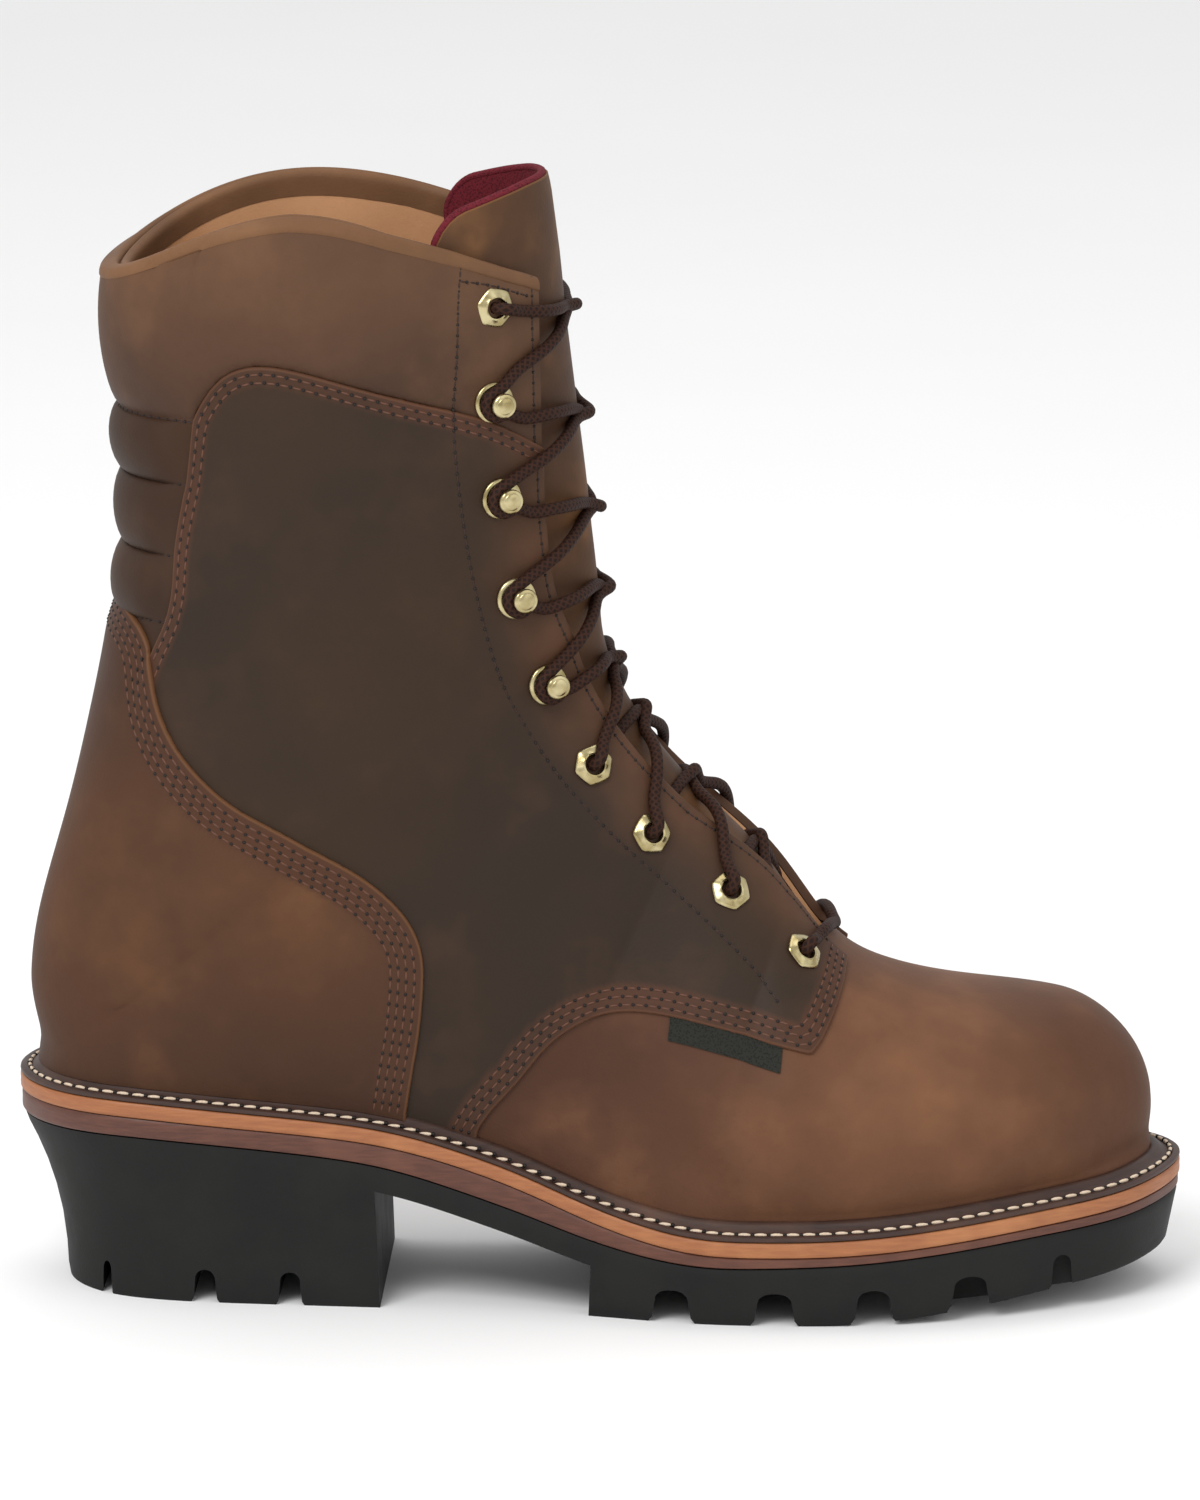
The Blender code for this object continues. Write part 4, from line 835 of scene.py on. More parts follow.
def add_values(piece, name, values):
    made = piece.data.attributes.new(name, "FLOAT", "POINT")
    made.data.foreach_set("value", np.asarray(values, np.float32))


def recalc_outward(piece, crisp=None):
    """Turn the faces outward, and keep edges above an angle in degrees sharp where one is given."""
    bm = bmesh.new()
    bm.from_mesh(piece.data)
    bmesh.ops.recalc_face_normals(bm, faces=bm.faces)
    bm.to_mesh(piece.data)
    bm.free()
    if crisp is not None:
        piece.data.set_sharp_from_angle(angle=math.radians(crisp))


def shell(name, faces, top, bottom, look, values, replaces=()):
    """A closed sheet between a top and a bottom place for each vertex used."""
    used = sorted({v for face in faces for v in face})
    number = {v: i for i, v in enumerate(used)}
    count = len(used)
    solid, border = [], {}
    for face in faces:
        ring = [number[v] for v in face]
        solid.append(ring)
        solid.append([i + count for i in ring[::-1]])
        for a, b in zip(ring, ring[1:] + ring[:1]):
            border[a, b] = True
    for a, b in border:
        if (b, a) not in border:
            solid.append([b, a, a + count, b + count])
    vertices = np.concatenate([top[used], bottom[used]])
    piece = new_mesh(name, vertices, solid, look, replaces)
    piece.data.set_sharp_from_angle(angle=math.radians(50))
    for key, value in values.items():
        add_values(piece, key, np.concatenate([value[used], value[used]]))
    return piece


def rounded(distance):
    """Height of a cut edge as a share of the leather: half at the edge, full a little way in."""
    t = 1 - np.clip(distance / EDGE_ROUND, 0, 1)
    return 0.5 + 0.5 * np.sqrt(1 - t * t)


# Materials
def colour(text):
    """Linear colour of an sRGB hex text."""
    parts = [int(text[i : i + 2], 16) / 255 for i in (0, 2, 4)]
    return tuple(c / 12.92 if c <= 0.04045 else ((c + 0.055) / 1.055) ** 2.4 for c in parts) + (1.0,)


class Finish:
    """A node material being built, with short calls for the nodes it uses."""

    def __init__(self, name, roughness=0.6, metallic=0.0, specular=0.5):
        self.material = bpy.data.materials.new(name)
        self.material.use_nodes = True
        self.tree = self.material.node_tree
        self.shader = self.tree.nodes["Principled BSDF"]
        self.shader.inputs["Roughness"].default_value = roughness
        self.shader.inputs["Metallic"].default_value = metallic
        self.shader.inputs["Specular IOR Level"].default_value = specular
        self.object = self.node("ShaderNodeTexCoord").outputs["Object"]

    def node(self, kind, **settings):
        made = self.tree.nodes.new(kind)
        for key, value in settings.items():
            setattr(made, key, value)
        return made

    def link(self, source, target):
        if isinstance(source, (int, float)):
            target.default_value = source
        elif isinstance(source, tuple):
            target.default_value = source
        else:
            self.tree.links.new(source, target)

    def noise(self, scale, detail=3.0, rough=0.55, vector=None):
        made = self.node("ShaderNodeTexNoise")
        made.inputs["Scale"].default_value = scale
        made.inputs["Detail"].default_value = detail
        made.inputs["Roughness"].default_value = rough
        self.link(vector or self.object, made.inputs["Vector"])
        return made.outputs["Fac"]

    def cells(self, scale):
        made = self.node("ShaderNodeTexVoronoi", feature="F1")
        made.inputs["Scale"].default_value = scale
        self.link(self.object, made.inputs["Vector"])
        return made.outputs["Distance"]

    def value(self, name):
        return self.node("ShaderNodeAttribute", attribute_name=name).outputs["Fac"]

    def math(self, operation, a, b=0.0):
        made = self.node("ShaderNodeMath", operation=operation)
        for socket, given in zip(made.inputs, (a, b)):
            self.link(given, socket)
        return made.outputs[0]

    def span(self, value, low, high, start=0.0, end=1.0):
        made = self.node("ShaderNodeMapRange", interpolation_type="SMOOTHSTEP")
        sources = {"Value": value, "From Min": low, "From Max": high, "To Min": start, "To Max": end}
        for name, source in sources.items():
            self.link(source, made.inputs[name])
        return made.outputs[0]

    def mix(self, share, a, b):
        made = self.node("ShaderNodeMix", data_type="RGBA")
        self.link(share, made.inputs["Factor"])
        self.link(a, made.inputs[6])
        self.link(b, made.inputs[7])
        return made.outputs[2]

    def bump(self, height, distance, strength=1.0, after=None):
        made = self.node("ShaderNodeBump")
        made.inputs["Strength"].default_value = strength
        made.inputs["Distance"].default_value = distance
        self.link(height, made.inputs["Height"])
        if after is not None:
            self.link(after, made.inputs["Normal"])
        return made.outputs["Normal"]

    def done(self, base, normal=None, roughness=None):
        self.link(base, self.shader.inputs["Base Color"])
        if normal is not None:
            self.link(normal, self.shader.inputs["Normal"])
        if roughness is not None:
            self.link(roughness, self.shader.inputs["Roughness"])
        return self.material


def leather(name, base, dark, light, band_colour="5A3626", mottle=0.35):
    """Oiled pull-up leather: clouded colour, fine grain, paler places and a painted highlight, a reddish sewn
    band and a paler cut edge.
    """
    finish = Finish(name, 0.60, specular=0.2)
    clouds = finish.noise(11.0, 3.0, 0.55)
    patches = finish.noise(38.0, 3.0, 0.55)
    specks = finish.noise(420.0, 3.0, 0.6)
    tone = finish.mix(finish.span(clouds, 0.32, 0.70), colour(dark), colour(base))
    tone = finish.mix(finish.math("MULTIPLY", finish.span(patches, 0.45, 0.85), mottle), tone, colour(light))
    tone = finish.mix(finish.math("MULTIPLY", finish.span(specks, 0.45, 0.75), 0.18), tone, colour(dark))
    # Paler towards the facing and on some panels, and a painted highlight where light falls on the vamp's side
    # and the collar's top
    pale_tone_and_painted_highlight = finish.math("MULTIPLY", finish.value("pale_tone_and_painted_highlight"), finish.span(patches, 0.25, 0.7, 0.45, 1.0))
    tone = finish.mix(pale_tone_and_painted_highlight, tone, colour(light))
    band = finish.math("MULTIPLY", finish.value("band"), finish.span(patches, 0.25, 0.7, 0.4, 0.9))
    tone = finish.mix(band, tone, colour(band_colour))
    tone = finish.mix(finish.span(finish.value("edge"), 0.35, 0.95, 0.55, 0.0), tone, colour(light))
    grain = finish.math("MULTIPLY", finish.cells(1100.0), 0.6)
    pores = finish.math("ADD", grain, finish.noise(1900.0, 2.0, 0.5))
    normal = finish.bump(pores, 0.09 * MM, 0.5)
    normal = finish.bump(patches, 0.5 * MM, 0.3, normal)
    return finish.done(tone, normal, finish.span(clouds, 0.3, 0.7, 0.52, 0.68))


vamp_leather = leather("vamp_leather", "593A28", "44291B", "83593D")
quarter_leather = leather("quarter_leather", "35261A", "2B2017", "64422E", "4A2E20", 0.2)
counter_leather = leather("counter_leather", "4B2F1F", "3A2417", "704B2E", "442A1C")
collar_leather = leather("collar_leather", "4C3426", "3A271C", "735239")
rib_leather = leather("rib_leather", "3C2617", "2E1D12", "553C29")
binding_leather = leather("binding_leather", "67472F", "4C3423", "8A6343")
tongue_leather = leather("tongue_leather", "4A3120", "2C1D16", "7E5632", mottle=1.0)
lining_leather = leather("lining_leather", "C4936A", "A87A55", "D0A37A")


def woven(name, base, dark, scale, depth):
    """A plain weave on Object coordinates."""
    finish = Finish(name, 0.9, specular=0.2)
    threads = finish.cells(scale)
    clouds = finish.noise(40.0)
    tone = finish.mix(finish.span(threads, 0.1, 0.6), colour(dark), colour(base))
    tone = finish.mix(finish.math("MULTIPLY", clouds, 0.3), tone, colour(dark))
    return finish.done(tone, finish.bump(threads, depth, 0.8))


burgundy_lining = woven("burgundy_lining", "661D26", "401018", 1500.0, 0.15 * MM)
rim_binding = woven("rim_binding", "6A2029", "42101A", 1500.0, 0.15 * MM)
footbed_felt = woven("footbed_felt", "421218", "24080C", 900.0, 0.3 * MM)
label_weave = woven("label_weave", "2A2B26", "171814", 1700.0, 0.15 * MM)


def thread(name, base, dark):
    """Sewing thread with a fine twist."""
    finish = Finish(name, 0.6, specular=0.4)
    twist = finish.noise(2600.0, 1.0)
    return finish.done(finish.mix(twist, colour(dark), colour(base)), finish.bump(twist, 0.1 * MM, 0.6))


welt_thread = thread("welt_thread", "EAD9C4", "B9A084")
seam_thread = thread("seam_thread", "6A4432", "4A2C1E")
dark_thread = thread("dark_thread", "3A2018", "1E100C")
# Near-black beads sunk in the needle holes: painted shade for the dark inside each hole
needle_hole_shade = thread("needle_hole_shade", "160D09", "0C0705")


def sole_leather(name, base, dark, light, lines):
    """Cut and dressed sole edge: layers of fibre run along it."""
    finish = Finish(name, 0.5, specular=0.45)
    stretch = finish.node("ShaderNodeMapping")
    stretch.inputs["Scale"].default_value = (1.0, 1.0, 9.0)
    finish.link(finish.object, stretch.inputs["Vector"])
    layers = finish.noise(lines, 4.0, 0.6, stretch.outputs[0])
    clouds = finish.noise(30.0, 3.0)
    tone = finish.mix(finish.span(layers, 0.2, 0.8), colour(dark), colour(base))
    tone = finish.mix(finish.math("MULTIPLY", finish.span(clouds, 0.5, 0.72), 0.7), tone, colour(light))
    return finish.done(tone, finish.bump(layers, 0.2 * MM, 0.4), finish.span(clouds, 0.3, 0.7, 0.42, 0.6))


midsole_leather = sole_leather("midsole_leather", "A4683F", "8E5634", "BA8052", 120.0)
slip_leather = sole_leather("slip_leather", "60382A", "4A2A1F", "774A36", 150.0)
welt_leather = sole_leather("welt_leather", "3F281F", "2C1B15", "5A3D2E", 90.0)


def rubber():
    """Black moulded rubber, faintly mottled."""
    finish = Finish("black_rubber", 0.66, specular=0.25)
    clouds = finish.noise(60.0, 4.0)
    grit = finish.noise(1400.0, 2.0)
    tone = finish.mix(finish.span(clouds, 0.3, 0.7), colour("121212"), colour("1C1C1A"))
    normal = finish.bump(grit, 0.12 * MM, 0.5)
    return finish.done(tone, normal, finish.span(clouds, 0.3, 0.7, 0.58, 0.72))


def brass():
    """Pale antiqued brass with soft darker wear."""
    finish = Finish("antique_brass", 0.3, 1.0)
    clouds = finish.noise(220.0, 2.0)
    scratches = finish.noise(2500.0, 2.0)
    tone = finish.mix(finish.span(clouds, 0.3, 0.7), colour("9C8C60"), colour("C8BC92"))
    rough = finish.span(clouds, 0.3, 0.7, 0.2, 0.34)
    return finish.done(tone, finish.bump(scratches, 0.03 * MM, 0.3), rough)


def lace_cord():
    """Round waxed braid: two families of strands from the piece's own UV map."""
    finish = Finish("waxed_cord", 0.66, specular=0.15)
    uv = finish.node("ShaderNodeUVMap", uv_map="braid").outputs["UV"]
    split = finish.node("ShaderNodeSeparateXYZ")
    finish.link(uv, split.inputs[0])
    along, around = split.outputs[0], split.outputs[1]
    one = finish.math("SINE", finish.math("MULTIPLY", finish.math("ADD", along, around), math.tau))
    two = finish.math("SINE", finish.math("MULTIPLY", finish.math("SUBTRACT", along, around), math.tau))
    braid = finish.math("MAXIMUM", one, two)
    tone = finish.mix(finish.span(braid, -0.2, 0.9), colour("1D0F0A"), colour("351E14"))
    return finish.done(tone, finish.bump(braid, 0.1 * MM, 0.6))


black_rubber = rubber()
antique_brass = brass()
waxed_cord = lace_cord()


# The upper's panels
def build_skin():
    skin = Skin()
    skin.add_distance("quarter", QUARTER_SHAPE)
    skin.add_distance("counter", COUNTER_SHAPE)
    for number, up in enumerate(RIB_SEAMS):
        field = f"rib_seam_{number}"
        skin.data[field] = skin.data["place"][:, 2] - HEEL_DECK - up * SHAFT_HEIGHT
        for level in (-1.2 * MM, -0.4 * MM, 0.0, 0.4 * MM, 1.2 * MM):
            skin.cut(field, level)
    strip = skin.data["reach"] < -1e-6
    skin.data["quarter"][strip] = np.minimum(skin.data["quarter"][strip], -1e-4)
    for field in ("quarter", "counter"):
        for level in (0.0, 0.25 * MM, EDGE_ROUND, UNDERLAP):
            skin.cut(field, level)
    skin.data["crease"] = folds_at(skin.data["place"])
    return skin


def base_panel(place):
    """Which leather lies lowest at a place: 0 vamp, 1 collar, 2 ribs."""
    share = share_up(place[:, 2])
    high = (share > RIB_SEAMS[-1]) | (place[:, 0] > -0.30 * SOLE_LENGTH)
    return np.where(share < 0.40, 0, np.where(high, 1, 2))


# The skirt of the upper behind the welt: how high it is turned level, and how far its edge drops
SKIRT_RISE = 4.0 * MM
SKIRT_DROP = 1.6 * MM


def skirt_drop(skin, lift):
    """Places lifted along the normals, level with the sole near the welt."""
    place, normal = skin.data["place"], skin.data["normal"]
    level = normal * [1, 1, 0]
    level /= np.maximum(np.linalg.norm(level, axis=1), 1e-9)[:, None]
    row = skin.data["row"]
    near = (1 - smooth(0.0, SKIRT_RISE, skin.data["down"])) * ((row >= TIP_ROW) & (row <= HEEL_ROW))
    away = blend(normal, level, near)
    away /= np.maximum(np.linalg.norm(away, axis=1), 1e-9)[:, None]
    out = place + away * lift[:, None]
    drop = (skin.data["down"] < 1e-7) & (row >= TIP_ROW) & (row <= HEEL_ROW)
    out[drop, 2] -= SKIRT_DROP
    return out


# Soft folds: side-view start and end, how far one reaches across it, and its depth
Fold = namedtuple("Fold", "start_x start_up end_x end_up reach depth")
FOLDS = [
    Fold(0.060, 0.010, 0.105, -0.085, 6.5, -0.75),
    Fold(0.085, 0.030, 0.140, -0.075, 6.0, 0.45),
    Fold(0.125, 0.020, 0.165, -0.060, 5.5, -0.55),
    Fold(-0.060, 0.500, -0.150, 0.440, 8.0, -0.80),
    Fold(-0.030, 0.430, -0.160, 0.370, 8.5, 0.60),
    Fold(0.000, 0.380, -0.110, 0.300, 7.5, -0.70),
    Fold(0.040, 0.300, -0.060, 0.210, 7.0, -0.50),
    Fold(-0.235, 0.560, -0.170, 0.500, 9.0, -0.60),
    Fold(-0.260, 0.450, -0.170, 0.400, 9.0, 0.50),
    Fold(-0.400, 0.330, -0.300, 0.300, 9.0, -0.55),
    Fold(-0.430, 0.240, -0.330, 0.210, 9.0, 0.45),
    Fold(-0.100, 0.800, -0.210, 0.840, 8.0, -0.50),
    Fold(-0.070, 0.940, -0.190, 0.905, 9.0, 0.50),
    Fold(-0.300, 0.930, -0.210, 0.960, 9.0, -0.45),
]


def folds_at(place):
    """Height of the soft folds over the upper, fading at their ends."""
    total = np.zeros(len(place))
    for fold in FOLDS:
        start = np.array([fold.start_x * SOLE_LENGTH, height_at(fold.start_up)])
        end = np.array([fold.end_x * SOLE_LENGTH, height_at(fold.end_up)])
        way = end - start
        offset = place[:, [0, 2]] - start
        share = offset @ way / (way @ way)
        bend = 0.12 * np.linalg.norm(way) * np.sin(math.pi * np.clip(share, 0, 1))
        away = (offset[:, 0] * way[1] - offset[:, 1] * way[0]) / np.linalg.norm(way) - bend
        fade = smooth(-0.35, 0.3, share) * (1 - smooth(0.7, 1.35, share))
        total += fold.depth * MM * fade * np.exp(-((away / (fold.reach * MM)) ** 2))
    return total


def panel_lifts(skin):
    """Top and bottom of each panel above the bare surface."""
    data = skin.data
    quarter, counter, reach = data["quarter"], data["counter"], data["reach"]
    facing = np.where(data["row"] >= THROAT_ROW - 1, np.maximum(reach, 0), 1.0)
    puff = swelling(data["place"])
    bare = np.zeros(len(reach))
    under = smooth(UNDERLAP, UNDERLAP + 3 * MM, quarter)
    under_counter = smooth(UNDERLAP, UNDERLAP + 3 * MM, counter)
    on_quarter = smooth(-2 * MM, 2 * MM, quarter)
    support = QUARTER_STEP * (on_quarter + (1 - on_quarter) * smooth(0, 12 * MM, counter))
    wall = wall_at(data["place"])
    lap = 0.06 * MM
    crease = data["crease"]
    return {
        "vamp": (bare + crease, bare - LEATHER_THICK + crease),
        "quarter": (
            QUARTER_STEP * rounded(np.minimum(quarter, facing)) + crease,
            lap - (LEATHER_THICK + lap) * under + crease,
        ),
        "counter": (
            support + lap + COUNTER_STEP * rounded(counter) + crease,
            support + lap - (LEATHER_THICK + support) * under_counter + crease,
        ),
        "collar": (puff + crease, -(wall - LEATHER_THICK)),
        "rib": (puff, bare - LEATHER_THICK),
    }


def build_upper(skin):
    """Five kinds of panel as closed sheets, lapped as a maker sews them."""
    place = skin.middle("place")
    quarter, counter = skin.middle("quarter"), skin.middle("counter")
    strip = skin.middle("reach") < 0
    panel = base_panel(place)
    outer_side = place[:, 1] < 0.02 * (place[:, 0] > 0)
    bare = (quarter < UNDERLAP) | strip
    side = (quarter > 0) & (counter < UNDERLAP) & ~strip
    panels = (
        ("vamp", "vamp", vamp_leather, bare & (panel == 0) & (counter < 0)),
        ("collar", "collar", collar_leather, bare & (panel == 1)),
        ("back_ribs", "rib", rib_leather, bare & (panel == 2) & (counter < UNDERLAP)),
        ("counter_pocket", "counter", counter_leather, counter > 0),
        ("quarter_outer", "quarter", quarter_leather, side & outer_side),
        ("quarter_inner", "quarter", quarter_leather, side & ~outer_side),
    )
    lifts = panel_lifts(skin)
    no_edge = np.full(len(skin.data["row"]), 0.03)
    for name, kind, look, mask in panels:
        top, bottom = lifts[kind]
        faces = [face for face, keep in zip(skin.faces, mask) if keep]
        values = {
            "edge": (skin.data[kind] if kind in ("quarter", "counter") else no_edge) / MM,
            "pale_tone_and_painted_highlight": pale_tone_and_painted_highlight_share(skin, kind),
            "band": sewn_band(skin, kind),
        }
        replaces = ("upper",) if name == "vamp" else ()
        top, bottom = skirt_drop(skin, top), skirt_drop(skin, bottom)
        piece = shell(name, faces, top, bottom, look, values, replaces)


# Width of the band that stitches run in, in millimetres: quarter, what it gains low down, counter
QUARTER_BAND = 5.0
LOW_BAND = 2.6
COUNTER_BAND = 9.8


def sewn_band(skin, kind):
    """1 in the band that the stitch rows run in, where oil and pressing redden the leather."""
    if kind == "quarter":
        low = 1 - smooth(0.20, 0.30, share_up(skin.data["place"][:, 2]))
        wide = (QUARTER_BAND + LOW_BAND * low) * MM
        edge = skin.data["quarter"]
    elif kind == "counter":
        wide, edge = COUNTER_BAND * MM, skin.data["counter"]
    else:
        return np.zeros(len(skin.data["row"]))
    return 1 - smooth(-0.9 * MM, 0.7 * MM, edge - wide)


def pale_tone_and_painted_highlight_share(skin, kind):
    """How much paler the leather is: towards the facing, across the counter's middle and a little on the ribs,
    with a painted highlight where light falls on the vamp's side and the collar's top.
    """
    place = skin.data["place"]
    x, z = place[:, 0] / SOLE_LENGTH, share_up(place[:, 2])
    facing = 1 - smooth(2 * MM, 26 * MM, np.maximum(skin.data["reach"], 0))
    if kind == "quarter":
        return 0.55 * facing
    if kind == "collar":
        # Collar: a painted highlight towards its top, and paler towards the facing
        return 0.45 * smooth(0.84, 1.02, z) + 0.2 * facing
    if kind == "vamp":
        # Vamp: a painted highlight on its side, where the light falls
        return 0.55 * np.exp(-(((x - 0.27) / 0.13) ** 2) - ((z - 0.04) / 0.14) ** 2)
    if kind == "counter":
        return 0.25 * smooth(0.0, 0.25, z) * (1 - smooth(0.3, 0.5, z))
    return np.zeros(len(x)) + 0.1


def build_lining(skin):
    """The leather lining down the whole inside, on a coarser grid."""
    row_step, column_step = 3, 4
    rows = list(range(0, len(skin.marks), row_step))
    fixed = [int(np.argmin(np.abs(skin.marks - u))) for u in (TIP_ROW, THROAT_ROW, HEEL_ROW, TOP_ROW)]
    rows = sorted(set(rows) | set(fixed))
    wide = skin.ids.shape[1]
    left, right = skin.last - STRIP_COLUMNS, skin.last + STRIP_COLUMNS
    sides = sorted(set(range(0, wide, column_step)) | {0, wide - 1, left, right, skin.last})
    faces = []
    for r, s in zip(rows, rows[1:]):
        for c, d in zip(sides, sides[1:]):
            if skin.marks[r] >= THROAT_ROW and left <= c < right:
                continue
            ring = (skin.ids[r, c], skin.ids[s, c], skin.ids[s, d], skin.ids[r, d])
            faces.append(tuple(dict.fromkeys(int(i) for i in ring)))
    wall = wall_at(skin.data["place"])
    top = skirt_drop(skin, -(wall - LEATHER_THICK + 0.05 * MM))
    bottom = skirt_drop(skin, -wall)
    values = {"edge": np.full(len(wall), 30.0), "pale_tone_and_painted_highlight": np.zeros(len(wall)), "band": np.zeros(len(wall))}
    piece = shell("lining", faces, top, bottom, lining_leather, values)
    recalc_outward(piece)


# Section of the collar's binding: share of the wall inward, millimetres outward, millimetres up
BINDING_SECTION = [
    (0, 0.05, -2.6),
    (0, 0.42, -2.1),
    (0, 0.55, -1.2),
    (0, 0.45, -0.1),
    (0.05, 0.2, 0.75),
    (0.2, 0.0, 1.2),
    (0.36, 0.0, 1.05),
    (0.46, 0.0, 0.35),
    (0.5, 0.0, -0.3),
    (0.54, 0.0, 0.35),
    (0.64, 0.0, 1.05),
    (0.8, 0.0, 1.2),
    (0.95, -0.2, 0.75),
    (1, -0.5, 0.0),
    (1, -0.6, -1.0),
    (1, -0.5, -2.2),
    (1, -0.2, -6.0),
    (1, 0.3, -6.0),
    (1, 0.6, -1.6),
    (0, -0.6, -1.6),
    (0, -0.5, -2.6),
]


def build_binding(skin):
    """The lining leather turned over the collar's top edge and sewn down outside."""
    r = len(skin.marks) - 1
    left, right = skin.last - STRIP_COLUMNS, skin.last + STRIP_COLUMNS
    columns = [c for c in range(skin.ids.shape[1] - 1) if not left < c < right]
    start = columns.index(right)
    columns = columns[start:] + columns[:start]
    ids, below = skin.ids[r, columns], skin.ids[r - 3, columns]
    place, normal = skin.data["place"][ids], skin.data["normal"][ids]
    up = place - skin.data["place"][below]
    up -= normal * np.sum(up * normal, axis=1)[:, None]
    up /= np.linalg.norm(up, axis=1)[:, None]
    wall = wall_at(place) / MM
    rings = []
    for share, out, rise in BINDING_SECTION:
        padding = swelling(place + up * rise * MM) if share == 0 and rise < 0 and out > 0 else 0.0
        rings.append(place + normal * ((out - share * wall) * MM + padding)[:, None] + up * rise * MM)
    count = len(columns)
    vertices = np.concatenate(rings)
    faces = []
    levels = len(BINDING_SECTION)
    for level in range(levels):
        faces += hoop(level * count, (level + 1) % levels * count, count)[:-1]
    faces.append([level * count for level in range(levels)])
    faces.append([level * count + count - 1 for level in range(levels)][::-1])
    piece = new_mesh("collar_binding", vertices, faces, binding_leather)
    recalc_outward(piece, 60)
    add_values(piece, "edge", np.full(len(vertices), 30.0))
    add_values(piece, "pale_tone_and_painted_highlight", np.full(len(vertices), 0.3))


# Tongue
tongue_half = spline([t.section for t in TONGUE_ROWS], [t.half * SHAFT_WIDTH for t in TONGUE_ROWS])
TONGUE_LEATHER = 1.5 * MM
TONGUE_RIM = 1.15 * MM

# The tongue's top edge: distance back from its front, and how far it has dropped there, in millimetres
TONGUE_TOP = [
    (-5, 0.4),
    (0, 0.4),
    (5, 1.3),
    (13, 3.4),
    (18, 4.8),
    (24, 6.5),
    (27, 7.9),
    (30, 10.3),
    (33, 14),
    (36, 19),
    (39, 27),
    (60, 34),
]


def tongue_grid(rows, columns, extra_rise, extra_width):
    """Places and normals of the tongue's face, its top swept down at both sides."""
    fine = np.linspace(TONGUE_ROWS[0].section, TOP_ROW, 160)
    across = np.arange(-columns, columns + 1) / columns
    table = np.zeros((len(fine) + 24, len(across), 3))
    for r, u in enumerate(fine):
        half = float(tongue_half(u)) + extra_width
        for side in (-1, 1):
            points, arc = section_half(u, side)
            pick = across * side >= 0
            table[r, pick] = on_arc(points, arc, np.abs(across[pick]) * half)
    for step in range(1, 25):
        table[len(fine) - 1 + step] = table[len(fine) - 1] + np.array([-0.13, 0.0, 1.0]) * step * 1.5 * MM
    front = table[len(fine) - 1, columns]
    back = (front[0] - table[len(fine) - 1, :, 0]) / MM
    drop = np.interp(back, [b for b, _ in TONGUE_TOP], [d for _, d in TONGUE_TOP]) * MM
    top = front[2] + TONGUE_RISE + extra_rise - drop
    index = np.arange(len(table))
    place = np.zeros((rows, len(across), 3))
    for k in range(len(across)):
        last = np.interp(top[k], table[100:, k, 2], index[100:])
        for axis in range(3):
            place[:, k, axis] = np.interp(np.linspace(0, last, rows), index, table[:, k, axis])
    ahead, aside = np.gradient(place, axis=0), np.gradient(place, axis=1)
    normal = np.cross(aside, ahead)
    normal /= np.linalg.norm(normal, axis=2)[:, :, None]
    if normal[rows // 2, columns, 0] < 0:
        normal = -normal
    return place, normal


def grid_shell(name, place, normal, top, bottom, look, replaces=()):
    """A closed sheet over a grid, with its rim rounded."""
    rows, wide = place.shape[:2]
    down, across = np.meshgrid(np.arange(rows), np.arange(wide), indexing="ij")
    rim = np.minimum(np.minimum(rows - 1 - down, across), wide - 1 - across)
    pinch = np.where(rim == 0, 0.55, np.where(rim == 1, 0.15, 0.0))
    middle = (top + bottom) / 2
    over = top + (middle - top) * pinch
    beneath = bottom + (middle - bottom) * pinch
    faces = []
    for r in range(rows - 1):
        for c in range(wide - 1):
            a = r * wide + c
            faces.append((a, a + 1, a + wide + 1, a + wide))
    flat_place, flat_normal = place.reshape(-1, 3), normal.reshape(-1, 3)
    over, beneath = over.reshape(-1, 1), beneath.reshape(-1, 1)
    count = rows * wide
    values = {
        "edge": np.where(rim.ravel() < 1, 0.0, 5.0),
        "pale_tone_and_painted_highlight": np.full(count, 0.2),
        "band": np.zeros(count),
    }
    outside, inside = flat_place + flat_normal * over, flat_place + flat_normal * beneath
    piece = shell(name, faces, outside, inside, look, values, replaces)
    recalc_outward(piece)
    return piece


def build_tongue():
    top = -(WALL + TONGUE_GAP)
    under = top - TONGUE_LEATHER
    place, normal = tongue_grid(100, 24, 0.0, 0.0)
    grid_shell("tongue_leather", place, normal, top, under, tongue_leather, ("tongue",))
    rim = place[-1] + normal[-1] * (top - 2.0 * MM) + np.array([0, 0, 0.2 * MM])
    place, normal = tongue_grid(80, 24, 0.0, 0.4 * MM)
    inner = top - TONGUE_WALL
    lining = grid_shell("tongue_lining", place, normal, under, inner, burgundy_lining)
    path = smooth_path(rim, 1.5 * MM)
    tube("tongue_rim", path, TONGUE_RIM, 12, rim_binding, ())


# Label caught in the vamp seam
def surface_tree(skin):
    """The bare surface as a tree that rays are cast against."""
    return BVHTree.FromPolygons(skin.data["place"].tolist(), skin.faces)


def surface_at(tree, x, z, side):
    """Point and outward normal of the surface at a side-view place of one side."""
    place, normal, _, _ = tree.ray_cast(Vector((x, side, z)), Vector((0, -side, 0)))
    if normal.y * side < 0:
        normal = -normal
    return np.array(place), np.array(normal)


LABEL_START = 0.064
LABEL_LENGTH = 30.0 * MM
LABEL_DROP = 6.2 * MM
LABEL_TUCK = 1.6 * MM
LABEL_TOP = 0.62 * MM
LABEL_BOTTOM = 0.05 * MM


